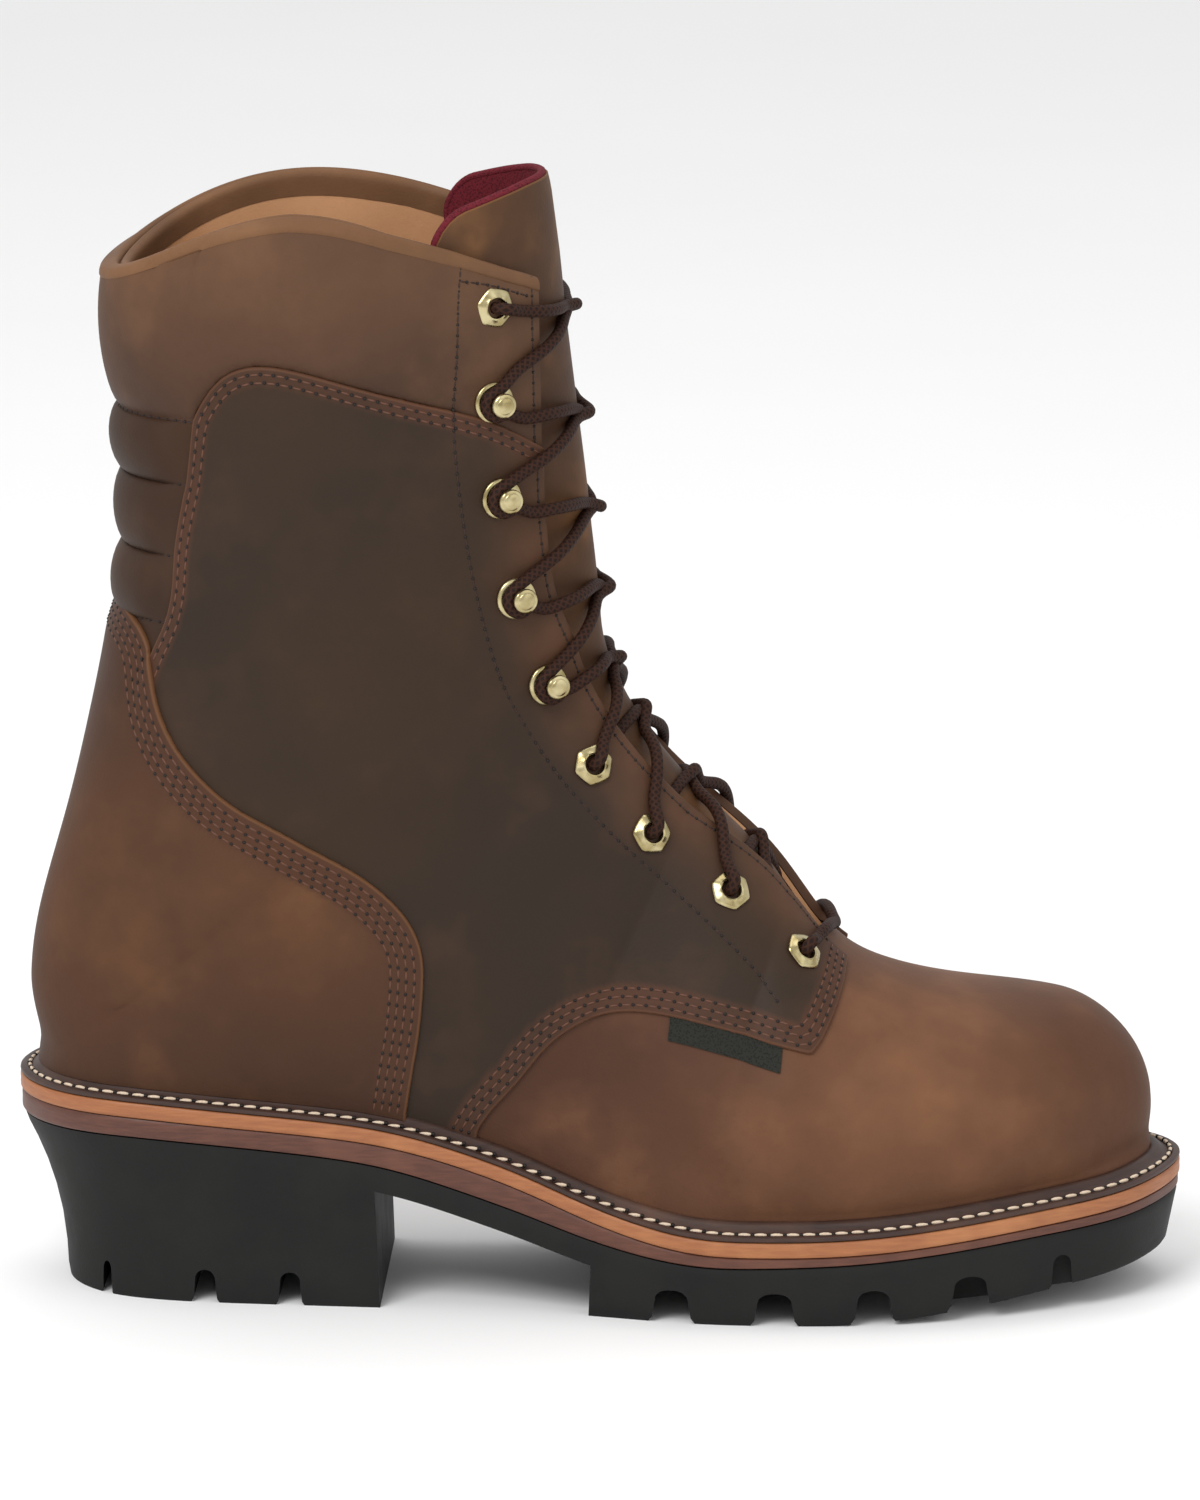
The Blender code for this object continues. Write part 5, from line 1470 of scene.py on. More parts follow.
def build_label(skin):
    """A small bare woven label caught under the vamp seam of the outer side."""
    tree = surface_tree(skin)
    seam = side_view(VAMP_EDGE)
    along, across = 24, 8
    start = LABEL_START * SOLE_LENGTH
    place = np.zeros((across + 1, along + 1, 3))
    normal = np.zeros_like(place)
    for k in range(along + 1):
        x = start + LABEL_LENGTH * k / along
        top = np.interp(x, seam[:, 0], seam[:, 1]) + LABEL_TUCK
        for j in range(across + 1):
            lean = 0.12 * LABEL_DROP * j / across
            down = (LABEL_DROP + LABEL_TUCK) * j / across
            place[j, k], normal[j, k] = surface_at(tree, x - lean, top - down, -1)
    normal[:] = normal.reshape(-1, 3).mean(axis=0)
    normal /= np.linalg.norm(normal, axis=2)[:, :, None]
    grid_shell("woven_label", place, normal, LABEL_TOP, LABEL_BOTTOM, label_weave, ("seam_label",))


# Sole: points round a ring, how far edges reach up, and what the slip sole is set back by
RING = 540
MIDSOLE_LAP = 0.2 * MM
SLIP_LAP = 0.3 * MM
SLIP_SET_BACK = 0.4 * MM


def ring_at(inset, height, count=RING):
    """A ring of the outline in space, its height a function of x."""
    flat = outline_ring(count, inset)
    return np.array([(x, y, height(x)) for x, y in flat])


def capped(name, rings, look, replaces):
    """A solid through stacked rings, capped across from side to side."""
    count = len(rings[0])
    faces = []
    for level in range(len(rings) - 1):
        faces += hoop(level * count, (level + 1) * count, count)
    for first in (0, (len(rings) - 1) * count):
        for i in range(count // 2):
            cap = [first + i, first + i + 1, first + (count - i - 1) % count, first + (count - i) % count]
            faces.append(tuple(dict.fromkeys(cap)))
    piece = new_mesh(name, np.concatenate(rings), faces, look, replaces)
    recalc_outward(piece, 40)
    return piece


def looped(name, rings, look, replaces):
    """A hoop through rings that close on the first."""
    count = len(rings[0])
    faces = []
    for level in range(len(rings)):
        faces += hoop(level * count, (level + 1) % len(rings) * count, count)
    piece = new_mesh(name, np.concatenate(rings), faces, look, replaces)
    recalc_outward(piece, 40)
    return piece


# Section of the welt: inset from the outline and height above the deck, in millimetres
WELT_SECTION = [
    (0.45, 0.35),
    (0.10, 0.60),
    (0.00, 1.00),
    (0.10, 1.50),
    (0.50, 1.80),
    (1.50, 1.95),
    (1.90, 1.85),
    (2.30, 1.60),
    (2.90, 1.60),
    (3.30, 1.90),
    (3.80, 2.15),
    (4.60, 2.60),
    (5.40, 3.60),
    (6.20, 4.25),
    (7.00, 4.40),
    (7.90, 4.20),
    (7.90, 0.35),
]


def edge_band(groove):
    """A dressed sole edge with a faint groove, as (inset in millimetres, share down from the top)."""
    return [
        (0.9, 0.0),
        (0.35, 0.03),
        (0.05, 0.12),
        (0.0, 0.3),
        (groove, 0.5),
        (0.0, 0.72),
        (0.05, 0.9),
        (0.35, 0.98),
        (0.9, 1.0),
    ]


def midsole_edge(x, share):
    """Height on the midsole's edge, a share down from its top."""
    return deck(x) + MIDSOLE_LAP - (MIDSOLE + MIDSOLE_LAP) * share


def slip_edge(x, share):
    """Height on the slip sole's edge, a share down from its top."""
    return slip_top(x) + SLIP_LAP + (slip_bottom(x) - slip_top(x) - SLIP_LAP) * share


def build_sole():
    rings = [ring_at(inset * MM, lambda x, h=h: deck(x) + h * MM) for inset, h in WELT_SECTION]
    looped("welt_strip", rings, welt_leather, ("welt",))
    rings = []
    for inset, share in edge_band(0.08):
        rings.append(ring_at(inset * MM, lambda x, s=share: midsole_edge(x, s)))
    capped("midsole_edge", rings, midsole_leather, ("midsole",))
    rings = []
    for inset, share in edge_band(0.04):
        rings.append(ring_at(SLIP_SET_BACK + inset * MM, lambda x, s=share: slip_edge(x, s)))
    capped("slip_sole_edge", rings, slip_leather, ("slip_sole",))
    inset = WELT_MARGIN + WALL + 2 * GAP
    rings = [
        ring_at(inset, lambda x: deck(x) + GAP, 180),
        ring_at(inset, lambda x: deck(x) + INSOLE - 0.3 * MM, 180),
        ring_at(inset + 1 * MM, lambda x: deck(x) + GAP + INSOLE, 180),
    ]
    capped("footbed", rings, footbed_felt, ("insole",))


def bar(profile, low, high):
    """A bar along Y with a side-view profile, used only to cut."""
    points = [(x, y, z) for y in (low, high) for x, z in profile]
    count = len(profile)
    faces = [tuple(range(count)), tuple(range(count, 2 * count))]
    faces += hoop(0, count, count)
    return points, faces


# Gaps of the tread: middle and width at the bottom, and depth. The toe's two don't go right across
Gap = namedtuple("Gap", "middle width depth")
LUG_GAPS = [
    Gap(20.7 * MM, 12.6 * MM, LUG_DEPTH),
    Gap(48.2 * MM, 13.0 * MM, LUG_DEPTH),
    Gap(74.6 * MM, 12.2 * MM, LUG_DEPTH),
]
TOE_GAPS = [
    Gap(100.3 * MM, 12.2 * MM, LUG_DEPTH),
    Gap(124.8 * MM, 6.8 * MM, LUG_DEPTH),
]
# How far each of the toe's gaps reaches in from either side
TOE_GAP_REACH = (16 * MM, 9 * MM)
HEEL_GAPS = [
    Gap(-82.0 * MM, 7.8 * MM, HEEL_GROOVE_DEPTH),
    Gap(-105.0 * MM, 7.8 * MM, HEEL_GROOVE_DEPTH),
    Gap(-132.0 * MM, 3.2 * MM, HEEL_GROOVE_DEPTH),
]


def gap_profile(gap, below):
    """A gap with a round roof and chamfered corners at the tread."""
    floor = ground(gap.middle)
    half = gap.width / 2
    cut = 0.18 * half
    roof = 0.86 * (half - cut)
    near, far = gap.middle - half, gap.middle + half
    points = [(near, below), (near, floor), (near + cut, floor + 1.4 * cut)]
    for step in range(13):
        angle = math.pi * step / 12
        rise = gap.depth * (0.66 + 0.34 * math.sin(angle) ** 0.8)
        points.append((gap.middle - roof * math.cos(angle), floor + rise))
    points += [(far - cut, floor + 1.4 * cut), (far, floor), (far, below)]
    return points


def carve(piece, tools):
    """Cut a piece by bars that don't touch each other, and keep the result as its mesh."""
    vertices, faces = [], []
    for points, sides in tools:
        faces += [tuple(len(vertices) + i for i in side) for side in sides]
        vertices += points
    mesh = bpy.data.meshes.new("cutter")
    mesh.from_pydata(vertices, [], faces)
    tool = placed("cutter", mesh)
    recalc_outward(tool)
    change = piece.modifiers.new("cut", "BOOLEAN")
    change.operation = "DIFFERENCE"
    change.solver = "EXACT"
    change.object = tool
    bake(piece)
    bpy.data.objects.remove(tool)


def bake(piece):
    """Keep what the modifiers make as the piece's own mesh."""
    made = bpy.data.meshes.new_from_object(piece.evaluated_get(bpy.context.evaluated_depsgraph_get()))
    piece.modifiers.clear()
    piece.data = made


def build_outsole():
    """One rubber unit: heel with a concave flare, arch, and a lugged forefoot."""
    rings = []
    for share in (0.0, 0.06, 0.16, 0.3, 0.45, 0.62, 0.8, 0.93, 1.0):

        def inset(x, share=share):
            heel = 1 - smooth(-0.20, -0.02, x / SOLE_LENGTH)
            back = np.clip((-x / SOLE_LENGTH - 0.17) / 0.33, 0, 1) ** 1.3
            curve = 1 - (1 - share) ** 2.2
            roll = 0.5 * MM * (share == 0) + 0.5 * MM * (share == 1)
            flare = heel * HEEL_FLARE * (0.16 + 0.84 * back) * curve
            return RUBBER_INSET + roll + flare + (1 - heel) * LUG_FLARE * share

        flat = outline_ring(RING, inset)
        edge = outline_ring(RING, RUBBER_INSET)
        heights = [rubber_top(x) + (ground(x) - rubber_top(x)) * share for x in edge[:, 0]]
        rings.append(np.array([(p[0], p[1], z) for p, z in zip(flat, heights)]))
    sole = capped("lugged_outsole", rings, black_rubber, ("outsole",))
    wide, below = BALL_WIDTH, -0.02
    arch = [(LUG_START - 1.5 * MM, below), (BREAST_X + 2 * MM, below)]
    for share in np.linspace(0, 1, 25):
        x = BREAST_X + (LUG_START - BREAST_X) * share
        arch.append((x, rubber_top(x) - ARCH_PLATE))
    tools = [bar(arch, -wide, wide)]
    tools += [bar(gap_profile(gap, below), -wide, wide) for gap in LUG_GAPS + HEEL_GAPS]
    around = outline_ring(RING)
    for gap, reach in zip(TOE_GAPS, TOE_GAP_REACH):
        beside = around[np.abs(around[:, 0] - gap.middle) < 4 * MM, 1]
        for low, high in ((-wide, beside.min() + reach), (beside.max() - reach, wide)):
            tools.append(bar(gap_profile(gap, below), low, high))
    carve(sole, tools)
    start, end = LUG_START - 4 * MM, LUG_START + LUG_PITCH * LUG_COUNT - LUG_GAP
    height = ground((start + end) / 2) + LUG_DEPTH * 0.8
    channel = [(start, below), (start, LUG_DEPTH * 0.8), (end, height), (end, below)]
    carve(sole, [bar(channel, -CENTRE_CHANNEL / 2, CENTRE_CHANNEL / 2)])
    sole.data.shade_smooth()
    sole.data.set_sharp_from_angle(angle=math.radians(35))


# Stitches
def stitch_tree():
    """Geometry Nodes: a row of short threads along each line of the input, standing on its up value."""
    tree = bpy.data.node_groups.new("stitch_row", "GeometryNodeTree")
    face = tree.interface
    face.new_socket("Geometry", in_out="INPUT", socket_type="NodeSocketGeometry")
    sockets = {}
    for name, start in (("Pitch", 0.003), ("Length", 0.0024), ("Thickness", 0.0007), ("Hole", 0.0008)):
        sockets[name] = face.new_socket(name, in_out="INPUT", socket_type="NodeSocketFloat")
        sockets[name].default_value = start
    for name in ("Thread", "Shade"):
        sockets[name] = face.new_socket(name, in_out="INPUT", socket_type="NodeSocketMaterial")
    face.new_socket("Geometry", in_out="OUTPUT", socket_type="NodeSocketGeometry")
    nodes, links = tree.nodes, tree.links
    given, made = nodes.new("NodeGroupInput"), nodes.new("NodeGroupOutput")
    curve = nodes.new("GeometryNodeMeshToCurve")
    spaced = nodes.new("GeometryNodeResampleCurve")
    spaced.mode = "LENGTH"
    up = nodes.new("GeometryNodeInputNamedAttribute")
    up.data_type = "FLOAT_VECTOR"
    up.inputs["Name"].default_value = "up"
    ahead = nodes.new("GeometryNodeInputTangent")
    stand = nodes.new("FunctionNodeAlignRotationToVector")
    stand.axis = "Z"
    turn = nodes.new("FunctionNodeAlignRotationToVector")
    turn.axis = "X"
    turn.pivot_axis = "Z"
    rows = nodes.new("GeometryNodeInstanceOnPoints")
    real = nodes.new("GeometryNodeRealizeInstances")
    shade = nodes.new("GeometryNodeSetShadeSmooth")
    both = nodes.new("GeometryNodeJoinGeometry")
    half = nodes.new("ShaderNodeMath")
    half.operation = "MULTIPLY"
    half.inputs[1].default_value = 0.5
    links.new(given.outputs["Pitch"], half.inputs[0])
    # Each stitch: a thread bead, and half a pitch on a near-black bead in the needle hole as painted shade
    for long, wide, shift, look, rings in (
        ("Length", "Thickness", None, "Thread", 5),
        ("Hole", "Hole", half, "Shade", 4),
    ):
        bead = nodes.new("GeometryNodeMeshUVSphere")
        bead.inputs["Segments"].default_value = 6
        bead.inputs["Rings"].default_value = rings
        bead.inputs["Radius"].default_value = 0.5
        rolled = nodes.new("GeometryNodeTransform")
        rolled.inputs["Rotation"].default_value = (0, math.pi / 2, 0)
        sized = nodes.new("GeometryNodeTransform")
        size = nodes.new("ShaderNodeCombineXYZ")
        coat = nodes.new("GeometryNodeSetMaterial")
        links.new(bead.outputs["Mesh"], rolled.inputs["Geometry"])
        links.new(rolled.outputs[0], sized.inputs["Geometry"])
        for socket, name in enumerate((long, wide, wide)):
            links.new(given.outputs[name], size.inputs[socket])
        links.new(size.outputs[0], sized.inputs["Scale"])
        if shift:
            place = nodes.new("ShaderNodeCombineXYZ")
            links.new(shift.outputs[0], place.inputs[0])
            links.new(place.outputs[0], sized.inputs["Translation"])
        links.new(sized.outputs[0], coat.inputs["Geometry"])
        links.new(given.outputs[look], coat.inputs["Material"])
        links.new(coat.outputs[0], both.inputs[0])
    links.new(given.outputs["Geometry"], curve.inputs[0])
    links.new(curve.outputs[0], spaced.inputs["Curve"])
    links.new(given.outputs["Pitch"], spaced.inputs["Length"])
    links.new(spaced.outputs[0], rows.inputs["Points"])
    links.new(both.outputs[0], rows.inputs["Instance"])
    links.new(up.outputs["Attribute"], stand.inputs["Vector"])
    links.new(stand.outputs[0], turn.inputs["Rotation"])
    links.new(ahead.outputs[0], turn.inputs["Vector"])
    links.new(turn.outputs[0], rows.inputs["Rotation"])
    links.new(rows.outputs[0], real.inputs[0])
    links.new(real.outputs[0], shade.inputs[0])
    links.new(shade.outputs[0], made.inputs[0])
    return tree, {name: socket.identifier for name, socket in sockets.items()}


STITCH_TREE, STITCH_SOCKETS = stitch_tree()


# How far stitches sink in, and their kinds: spacing, length, thickness and width of a needle hole
SUNK = -0.06 * MM
Stitch = namedtuple("Stitch", "pitch length thick hole")
SEAM_STITCH = Stitch(3.45 * MM, 2.4 * MM, 0.62 * MM, 1.0 * MM)
FACING_STITCH = Stitch(2.9 * MM, 2.0 * MM, 0.55 * MM, 0.95 * MM)
WELT_STITCH = Stitch(4.3 * MM, 3.7 * MM, 1.15 * MM, 1.2 * MM)

# Stitch rows from their edge, in millimetres: round the quarter, its third low down, counter, facing
QUARTER_ROWS = (1.9, 4.1)
LOW_ROW = 6.3
COUNTER_ROWS = (2.4, 4.6, 6.7, 8.8)
FACING_ROW = 2.6

# The welt's row: inset from the outline and height above the deck
WELT_ROW_INSET = 2.6 * MM
WELT_ROW_RISE = 1.85 * MM

# Short row below the collar's top edge, from the eyestay line towards the facing, in side view
TOP_STITCH = [
    Edge(-0.112, 1.002),
    Edge(-0.090, 0.998),
    Edge(-0.062, 0.988),
]


def stitch_rows(name, lines, stitch, look):
    """Stitches of one kind along lines, each a pair of arrays: places and the way up."""
    vertices, edges, ups = [], [], []
    for place, up in lines:
        first = len(vertices)
        vertices += list(place)
        ups += list(up)
        edges += [(first + i, first + i + 1) for i in range(len(place) - 1)]
    mesh = bpy.data.meshes.new(name)
    mesh.from_pydata([tuple(v) for v in vertices], edges, [])
    way_up = mesh.attributes.new("up", "FLOAT_VECTOR", "POINT")
    way_up.data.foreach_set("vector", np.array(ups, np.float32).ravel())
    piece = placed(name, mesh)
    change = piece.modifiers.new("stitches", "NODES")
    change.node_group = STITCH_TREE
    change[STITCH_SOCKETS["Pitch"]] = stitch.pitch
    change[STITCH_SOCKETS["Length"]] = stitch.length
    change[STITCH_SOCKETS["Thickness"]] = stitch.thick
    change[STITCH_SOCKETS["Hole"]] = stitch.hole
    change[STITCH_SOCKETS["Thread"]] = look
    change[STITCH_SOCKETS["Shade"]] = needle_hole_shade
    bake(piece)
    finish_piece(piece)
    return piece


def evened(place, up, passes=4):
    """A line with its small steps smoothed out."""
    place, up = place.copy(), up.copy()
    for _ in range(passes):
        place[1:-1] = (place[:-2] + 2 * place[1:-1] + place[2:]) / 4
        up[1:-1] = (up[:-2] + 2 * up[1:-1] + up[2:]) / 4
    return place, up / np.linalg.norm(up, axis=1)[:, None]


def runs(keep):
    """Stretches of True as slices."""
    marks = np.flatnonzero(np.diff(np.concatenate([[0], keep.astype(int), [0]])))
    return [slice(a, b) for a, b in zip(marks[::2], marks[1::2]) if b - a > 4]


def seam_lines(skin, field, level, keep, lift):
    """A level's lines, lifted onto their panel, where keep(values) holds."""
    found = []
    for line in skin.lines(field, level):
        for part in runs(keep(line)):
            place, up = line["place"][part], line["normal"][part]
            height = lift({name: value[part] for name, value in line.items()})
            found.append(evened(place + up * height[:, None], up))
    return found


def side_lines(skin, edges, dips=False):
    """A side-view line laid on both sides of the upper, on the quarter or on the collar above it."""
    way = side_view(edges)
    chord = lengths_along(way)
    steps = np.arange(0, chord[-1], 1.0 * MM)
    x, z = np.interp(steps, chord, way[:, 0]), np.interp(steps, chord, way[:, 1])
    step = QUARTER_STEP * smooth(-0.5 * MM, 0.5 * MM, inside_distance(QUARTER_SHAPE, x, z))
    tree = surface_tree(skin)
    found = []
    for side in (-1, 1):
        low = z - dip_at(x) if dips and side < 0 else z
        hits = [surface_at(tree, a, b, side) for a, b in zip(x, low)]
        spots, ups = np.array([h[0] for h in hits]), np.array([h[1] for h in hits])
        spots, ups = evened(spots, ups, 2)
        height = step + folds_at(spots) + swelling(spots) + SUNK
        found.append((spots + ups * height[:, None], ups))
    return found


def build_stitches(skin):
    """The rows of stitches: light seams, dark facing and rib rows, and the welt's."""

    def on_quarter(values):
        return np.full(len(values["row"]), QUARTER_STEP + SUNK) + values["crease"]

    def on_counter(values):
        quarter = values["quarter"]
        share = smooth(-2 * MM, 2 * MM, quarter)
        support = share + (1 - share) * smooth(0, 12 * MM, values["counter"])
        return QUARTER_STEP * support + COUNTER_STEP + SUNK + values["crease"]

    def open_quarter(values):
        return (values["counter"] < -0.5 * MM) & (values["reach"] > 2.5 * MM) & (values["down"] > 1 * MM)

    def low_quarter(values):
        return open_quarter(values) & (values["place"][:, 2] < height_at(0.21))

    def on_ribs(values):
        bare = (values["quarter"] < -0.6 * MM) & (values["counter"] < -0.6 * MM)
        return bare & (values["place"][:, 0] < -0.06)

    rows = []
    for level in QUARTER_ROWS:
        rows += seam_lines(skin, "quarter", level * MM, open_quarter, on_quarter)
    rows += seam_lines(skin, "quarter", LOW_ROW * MM, low_quarter, on_quarter)
    for level in COUNTER_ROWS:
        rows += seam_lines(skin, "counter", level * MM, lambda v: v["down"] > 1 * MM, on_counter)
    stitch_rows("seam_stitches", rows, SEAM_STITCH, seam_thread)
    rows = side_lines(skin, EYESTAY_LINE) + side_lines(skin, TOP_STITCH, True)
    for number in range(len(RIB_SEAMS)):
        rows += seam_lines(skin, f"rib_seam_{number}", 0.0, on_ribs, lambda v: np.full(len(v["row"]), SUNK))
    rows += seam_lines(
        skin,
        "reach",
        FACING_ROW * MM,
        lambda v: v["row"] > THROAT_ROW + 0.1,
        lambda v: np.where(v["quarter"] > 0, QUARTER_STEP, 0) + SUNK + v["crease"],
    )
    stitch_rows("facing_stitches", rows, FACING_STITCH, dark_thread)
    ring, _ = outline(np.linspace(0, 1, 900))
    flat = outline_ring(900, WELT_ROW_INSET)
    place = np.array([(x, y, deck(e[0]) + WELT_ROW_RISE) for (x, y), e in zip(flat, ring)])
    place = np.concatenate([place, place[:1]])
    up = np.tile([0.0, 0.0, 1.0], (len(place), 1))
    stitch_rows("welt_stitches", [(place, up)], WELT_STITCH, welt_thread)


# Hardware
def stop_frame(stop, side, lift=0.0):
    """Matrix at a lace stop: local z out of the leather, local x towards the facing's edge."""
    reach = float(strip_half(stop.section)) + stop.reach * FACING_MARGIN
    place, normal = on_front(stop.section, side, reach)
    ahead, _ = on_front(stop.section, side, reach - 0.004)
    out = Vector(normal)
    along = Vector(ahead - place)
    along = (along - out * along.dot(out)).normalized()
    frame_at = Matrix((along, out.cross(along), out)).transposed().to_4x4()
    frame_at.translation = Vector(place) + out * (QUARTER_STEP * stop.step + lift)
    return frame_at


def turned(profile, frame_at, hollow, sides, shape=None, lean=0.0):
    """Vertices and faces turned from (radius, height) rows. shape scales the radius by angle and row."""
    top = max(height for _, height in profile)
    vertices, faces = [], []
    for level, (radius, height) in enumerate(profile):
        shift = lean * (max(height, 0) / top) ** 1.5
        for i in range(sides):
            angle = math.tau * (i + 0.5) / sides
            wide = radius * (shape(angle, level) if shape else 1.0)
            spot = Vector((shift + wide * math.cos(angle), wide * math.sin(angle), height))
            vertices.append(frame_at @ spot)
    levels = len(profile)
    for level in range(levels if hollow else levels - 1):
        faces += hoop(level * sides, (level + 1) % levels * sides, sides)
    if not hollow:
        faces += [tuple(range(sides)), tuple(range((levels - 1) * sides, levels * sides))]
    return vertices, faces


# Eyelet and hook as (radius, height) in millimetres. The eyelet's outer rows are six-sided
EYELET_PROFILE = [
    (2.55, -3.2),
    (2.50, 0.2),
    (2.55, 0.9),
    (2.80, 1.25),
    (3.20, 1.35),
    (3.60, 1.25),
    (4.90, 0.75),
    (5.45, 0.45),
    (5.60, 0.15),
    (5.50, 0.0),
    (3.10, 0.0),
    (3.05, -3.2),
]
HOOK_PROFILE = [
    (5.60, 0.0),
    (5.62, 0.35),
    (5.35, 0.75),
    (4.60, 1.00),
    (3.00, 1.05),
    (2.20, 1.20),
    (1.75, 1.80),
    (1.70, 3.90),
    (2.00, 4.45),
    (2.90, 4.60),
    (3.30, 5.00),
    (3.35, 5.50),
    (3.10, 6.00),
    (2.65, 6.20),
    (2.35, 6.20),
    (2.15, 6.42),
    (1.20, 6.62),
    (0.40, 6.66),
]


def six_sided(angle, level):
    """Radius of a rounded hexagon on the flange's outer rows."""
    if not 5 <= level <= 9:
        return 1.0
    phase = (angle + math.pi / 6) % (math.pi / 3) - math.pi / 6
    flat = math.cos(math.pi / 6) / math.cos(phase)
    return 1.0 - 0.75 * (1 - flat)


def build_hardware():
    for row, stop in enumerate(STOPS, 1):
        for side, hand in ((-1, "outer"), (1, "inner")):
            frame_at = stop_frame(stop, side, HARDWARE_GAP)
            if stop.kind == "eyelet":
                spin = Matrix.Rotation(0.5 * row + side, 4, "Z")
                profile = [(r * MM, h * MM) for r, h in EYELET_PROFILE]
                vertices, faces = turned(profile, frame_at @ spin, True, 48, six_sided)
                node = f"eyelet_{row}_{hand}"
            else:
                profile = [(r * MM, h * MM) for r, h in HOOK_PROFILE]
                vertices, faces = turned(profile, frame_at, False, 32, None, HOOK_LEAN)
                node = f"hook_{row}_{hand}"
            piece = new_mesh(f"brass_{node}", vertices, faces, antique_brass, (node,))
            recalc_outward(piece, 38)


# Lace
def lace_point(u, away, lift):
    """A place over the upper: section row, arc from the ridge (minus on the outer side) and lift."""
    place, normal = on_front(u, -1 if away < 0 else 1, max(abs(away), 1e-5))
    return place + normal * lift


def stop_away(stop, side):
    return side * (float(strip_half(stop.section)) + stop.reach * FACING_MARGIN)


def row_spacing(u):
    low, _ = on_front(u - 0.05, -1, strip_half(u))
    high, _ = on_front(u + 0.05, -1, strip_half(u))
    return float(np.linalg.norm(high - low)) / 0.1


# Rows at which the lace's two halves cross on the ridge, one for each step up, and the row of the lowest bar
CROSS_ROWS = (9.15, 10.1, 11.0, 11.75, 13.5, 16.55, 19.05, 22.1)
BAR_ROW = 7.97

# Lifts over the surface: the lower and the upper strand of a crossing, the bar's middle, and under a facing
RIDGE_LOW = -3.1 * MM
RIDGE_HIGH = -0.7 * MM
BAR_LIFT = 1.7 * MM
TUCKED_LIFT = -(WALL + 0.9 * MM)

# The lace's way through an eyelet, as (towards the facing's edge, out of the leather) in millimetres
EYELET_WAY = [(0.0, -4.6), (0.0, -1.8), (0.1, 0.9), (1.3, 2.7)]

# Its way round a hook in degrees, from below to above, and the heights of its two parts
HOOK_WAY = (-75, -115, -155, 165, 125, 85)
HOOK_LOW = 2.55 * MM
HOOK_HIGH = 2.75 * MM

# The braid on the lace: length of a repeat, and repeats round it
BRAID_PITCH = 1.9 * MM
BRAID_ROUND = 5.0


def strand(stop, side, row, ridge, tucked, offset):
    """Places of a lace from beside a stop to beside the ridge, over the facing or tucked under it."""
    reach = abs(stop_away(stop, side))
    start = stop.section + offset / row_spacing(stop.section)
    rest = TUCKED_LIFT if tucked else QUARTER_STEP * stop.step + LACE_RADIUS
    path = []
    for share in (0.84, 0.66, 0.50, 0.34, 0.20, 0.09):
        u = row + (start - row) * share
        inside = 1 - share * reach / float(strip_half(u))
        near = math.exp(-((share * reach / (2.6 * LACE_RADIUS)) ** 2))
        middle = RIDGE_LOW + (ridge - RIDGE_LOW) * near
        path.append(lace_point(u, side * share * reach, rest + (middle - rest) * smooth(-0.05, 0.8, inside)))
    return path


def through(stop, side, inward):
    """Points that take a lace through an eyelet, out of the hole or into it."""
    frame_at = stop_frame(stop, side)
    out = [np.array(frame_at @ Vector((x * MM, 0.0, z * MM))) for x, z in EYELET_WAY]
    return out[::-1] if inward else out


def round_hook(stop, side):
    """Points that take a lace round a hook's neck, from below to above."""
    frame_at = stop_frame(stop, side, HARDWARE_GAP)
    up = 1.0 if (frame_at.to_3x3() @ Vector((0, 1, 0))).z > 0 else -1.0
    points = []
    for degrees in HOOK_WAY:
        angle = math.radians(degrees)
        height = HOOK_HIGH if degrees > 0 else HOOK_LOW
        spot = Vector((HOOK_RING * math.cos(angle), HOOK_RING * math.sin(angle) * up, height))
        points.append(np.array(frame_at @ spot))
    return points


def lace_half(side):
    """The lace from beside the middle of the lowest bar, up one way to the top eyelet, as one path."""
    lowest = STOPS[0]
    reach = abs(stop_away(lowest, side))
    path = []
    for share in (0.12, 0.28, 0.46, 0.64, 0.82):
        u = BAR_ROW + (lowest.section - BAR_ROW) * share
        lift = BAR_LIFT + (QUARTER_STEP + LACE_RADIUS - BAR_LIFT) * smooth(0.1, 0.6, share)
        path.append(lace_point(u, side * share * reach, lift))
    path += through(lowest, side, True)
    for k, (low, high, row) in enumerate(zip(STOPS, STOPS[1:], CROSS_ROWS)):
        ridge = RIDGE_HIGH if (k % 2 == 0) == (side < 0) else RIDGE_LOW
        last = k == len(STOPS) - 2
        if k and low.kind == "eyelet":
            path += through(low, side, False)
        elif k:
            path += round_hook(low, side)
        path += strand(low, side, row, ridge, k == 0, HOOK_RING if low.kind == "hook" else 0.0)
        path.append(lace_point(row, 0.0, ridge))
        under = high.kind == "eyelet" and not last
        path += strand(high, -side, row, ridge, under, -HOOK_RING if high.kind == "hook" else 0.0)[::-1]
        side = -side
    return path + through(STOPS[-1], side, True)


def smooth_path(points, step):
    """A path evened to a steady step along a spline through its points."""
    points = np.array(points)
    chord = lengths_along(points)
    keep = np.concatenate([[True], np.diff(chord) > 1e-6])
    points, chord = points[keep], chord[keep]
    way = np.linspace(0, chord[-1], int(chord[-1] / step))
    return np.stack([spline(chord, points[:, k])(way) for k in range(3)], axis=1)


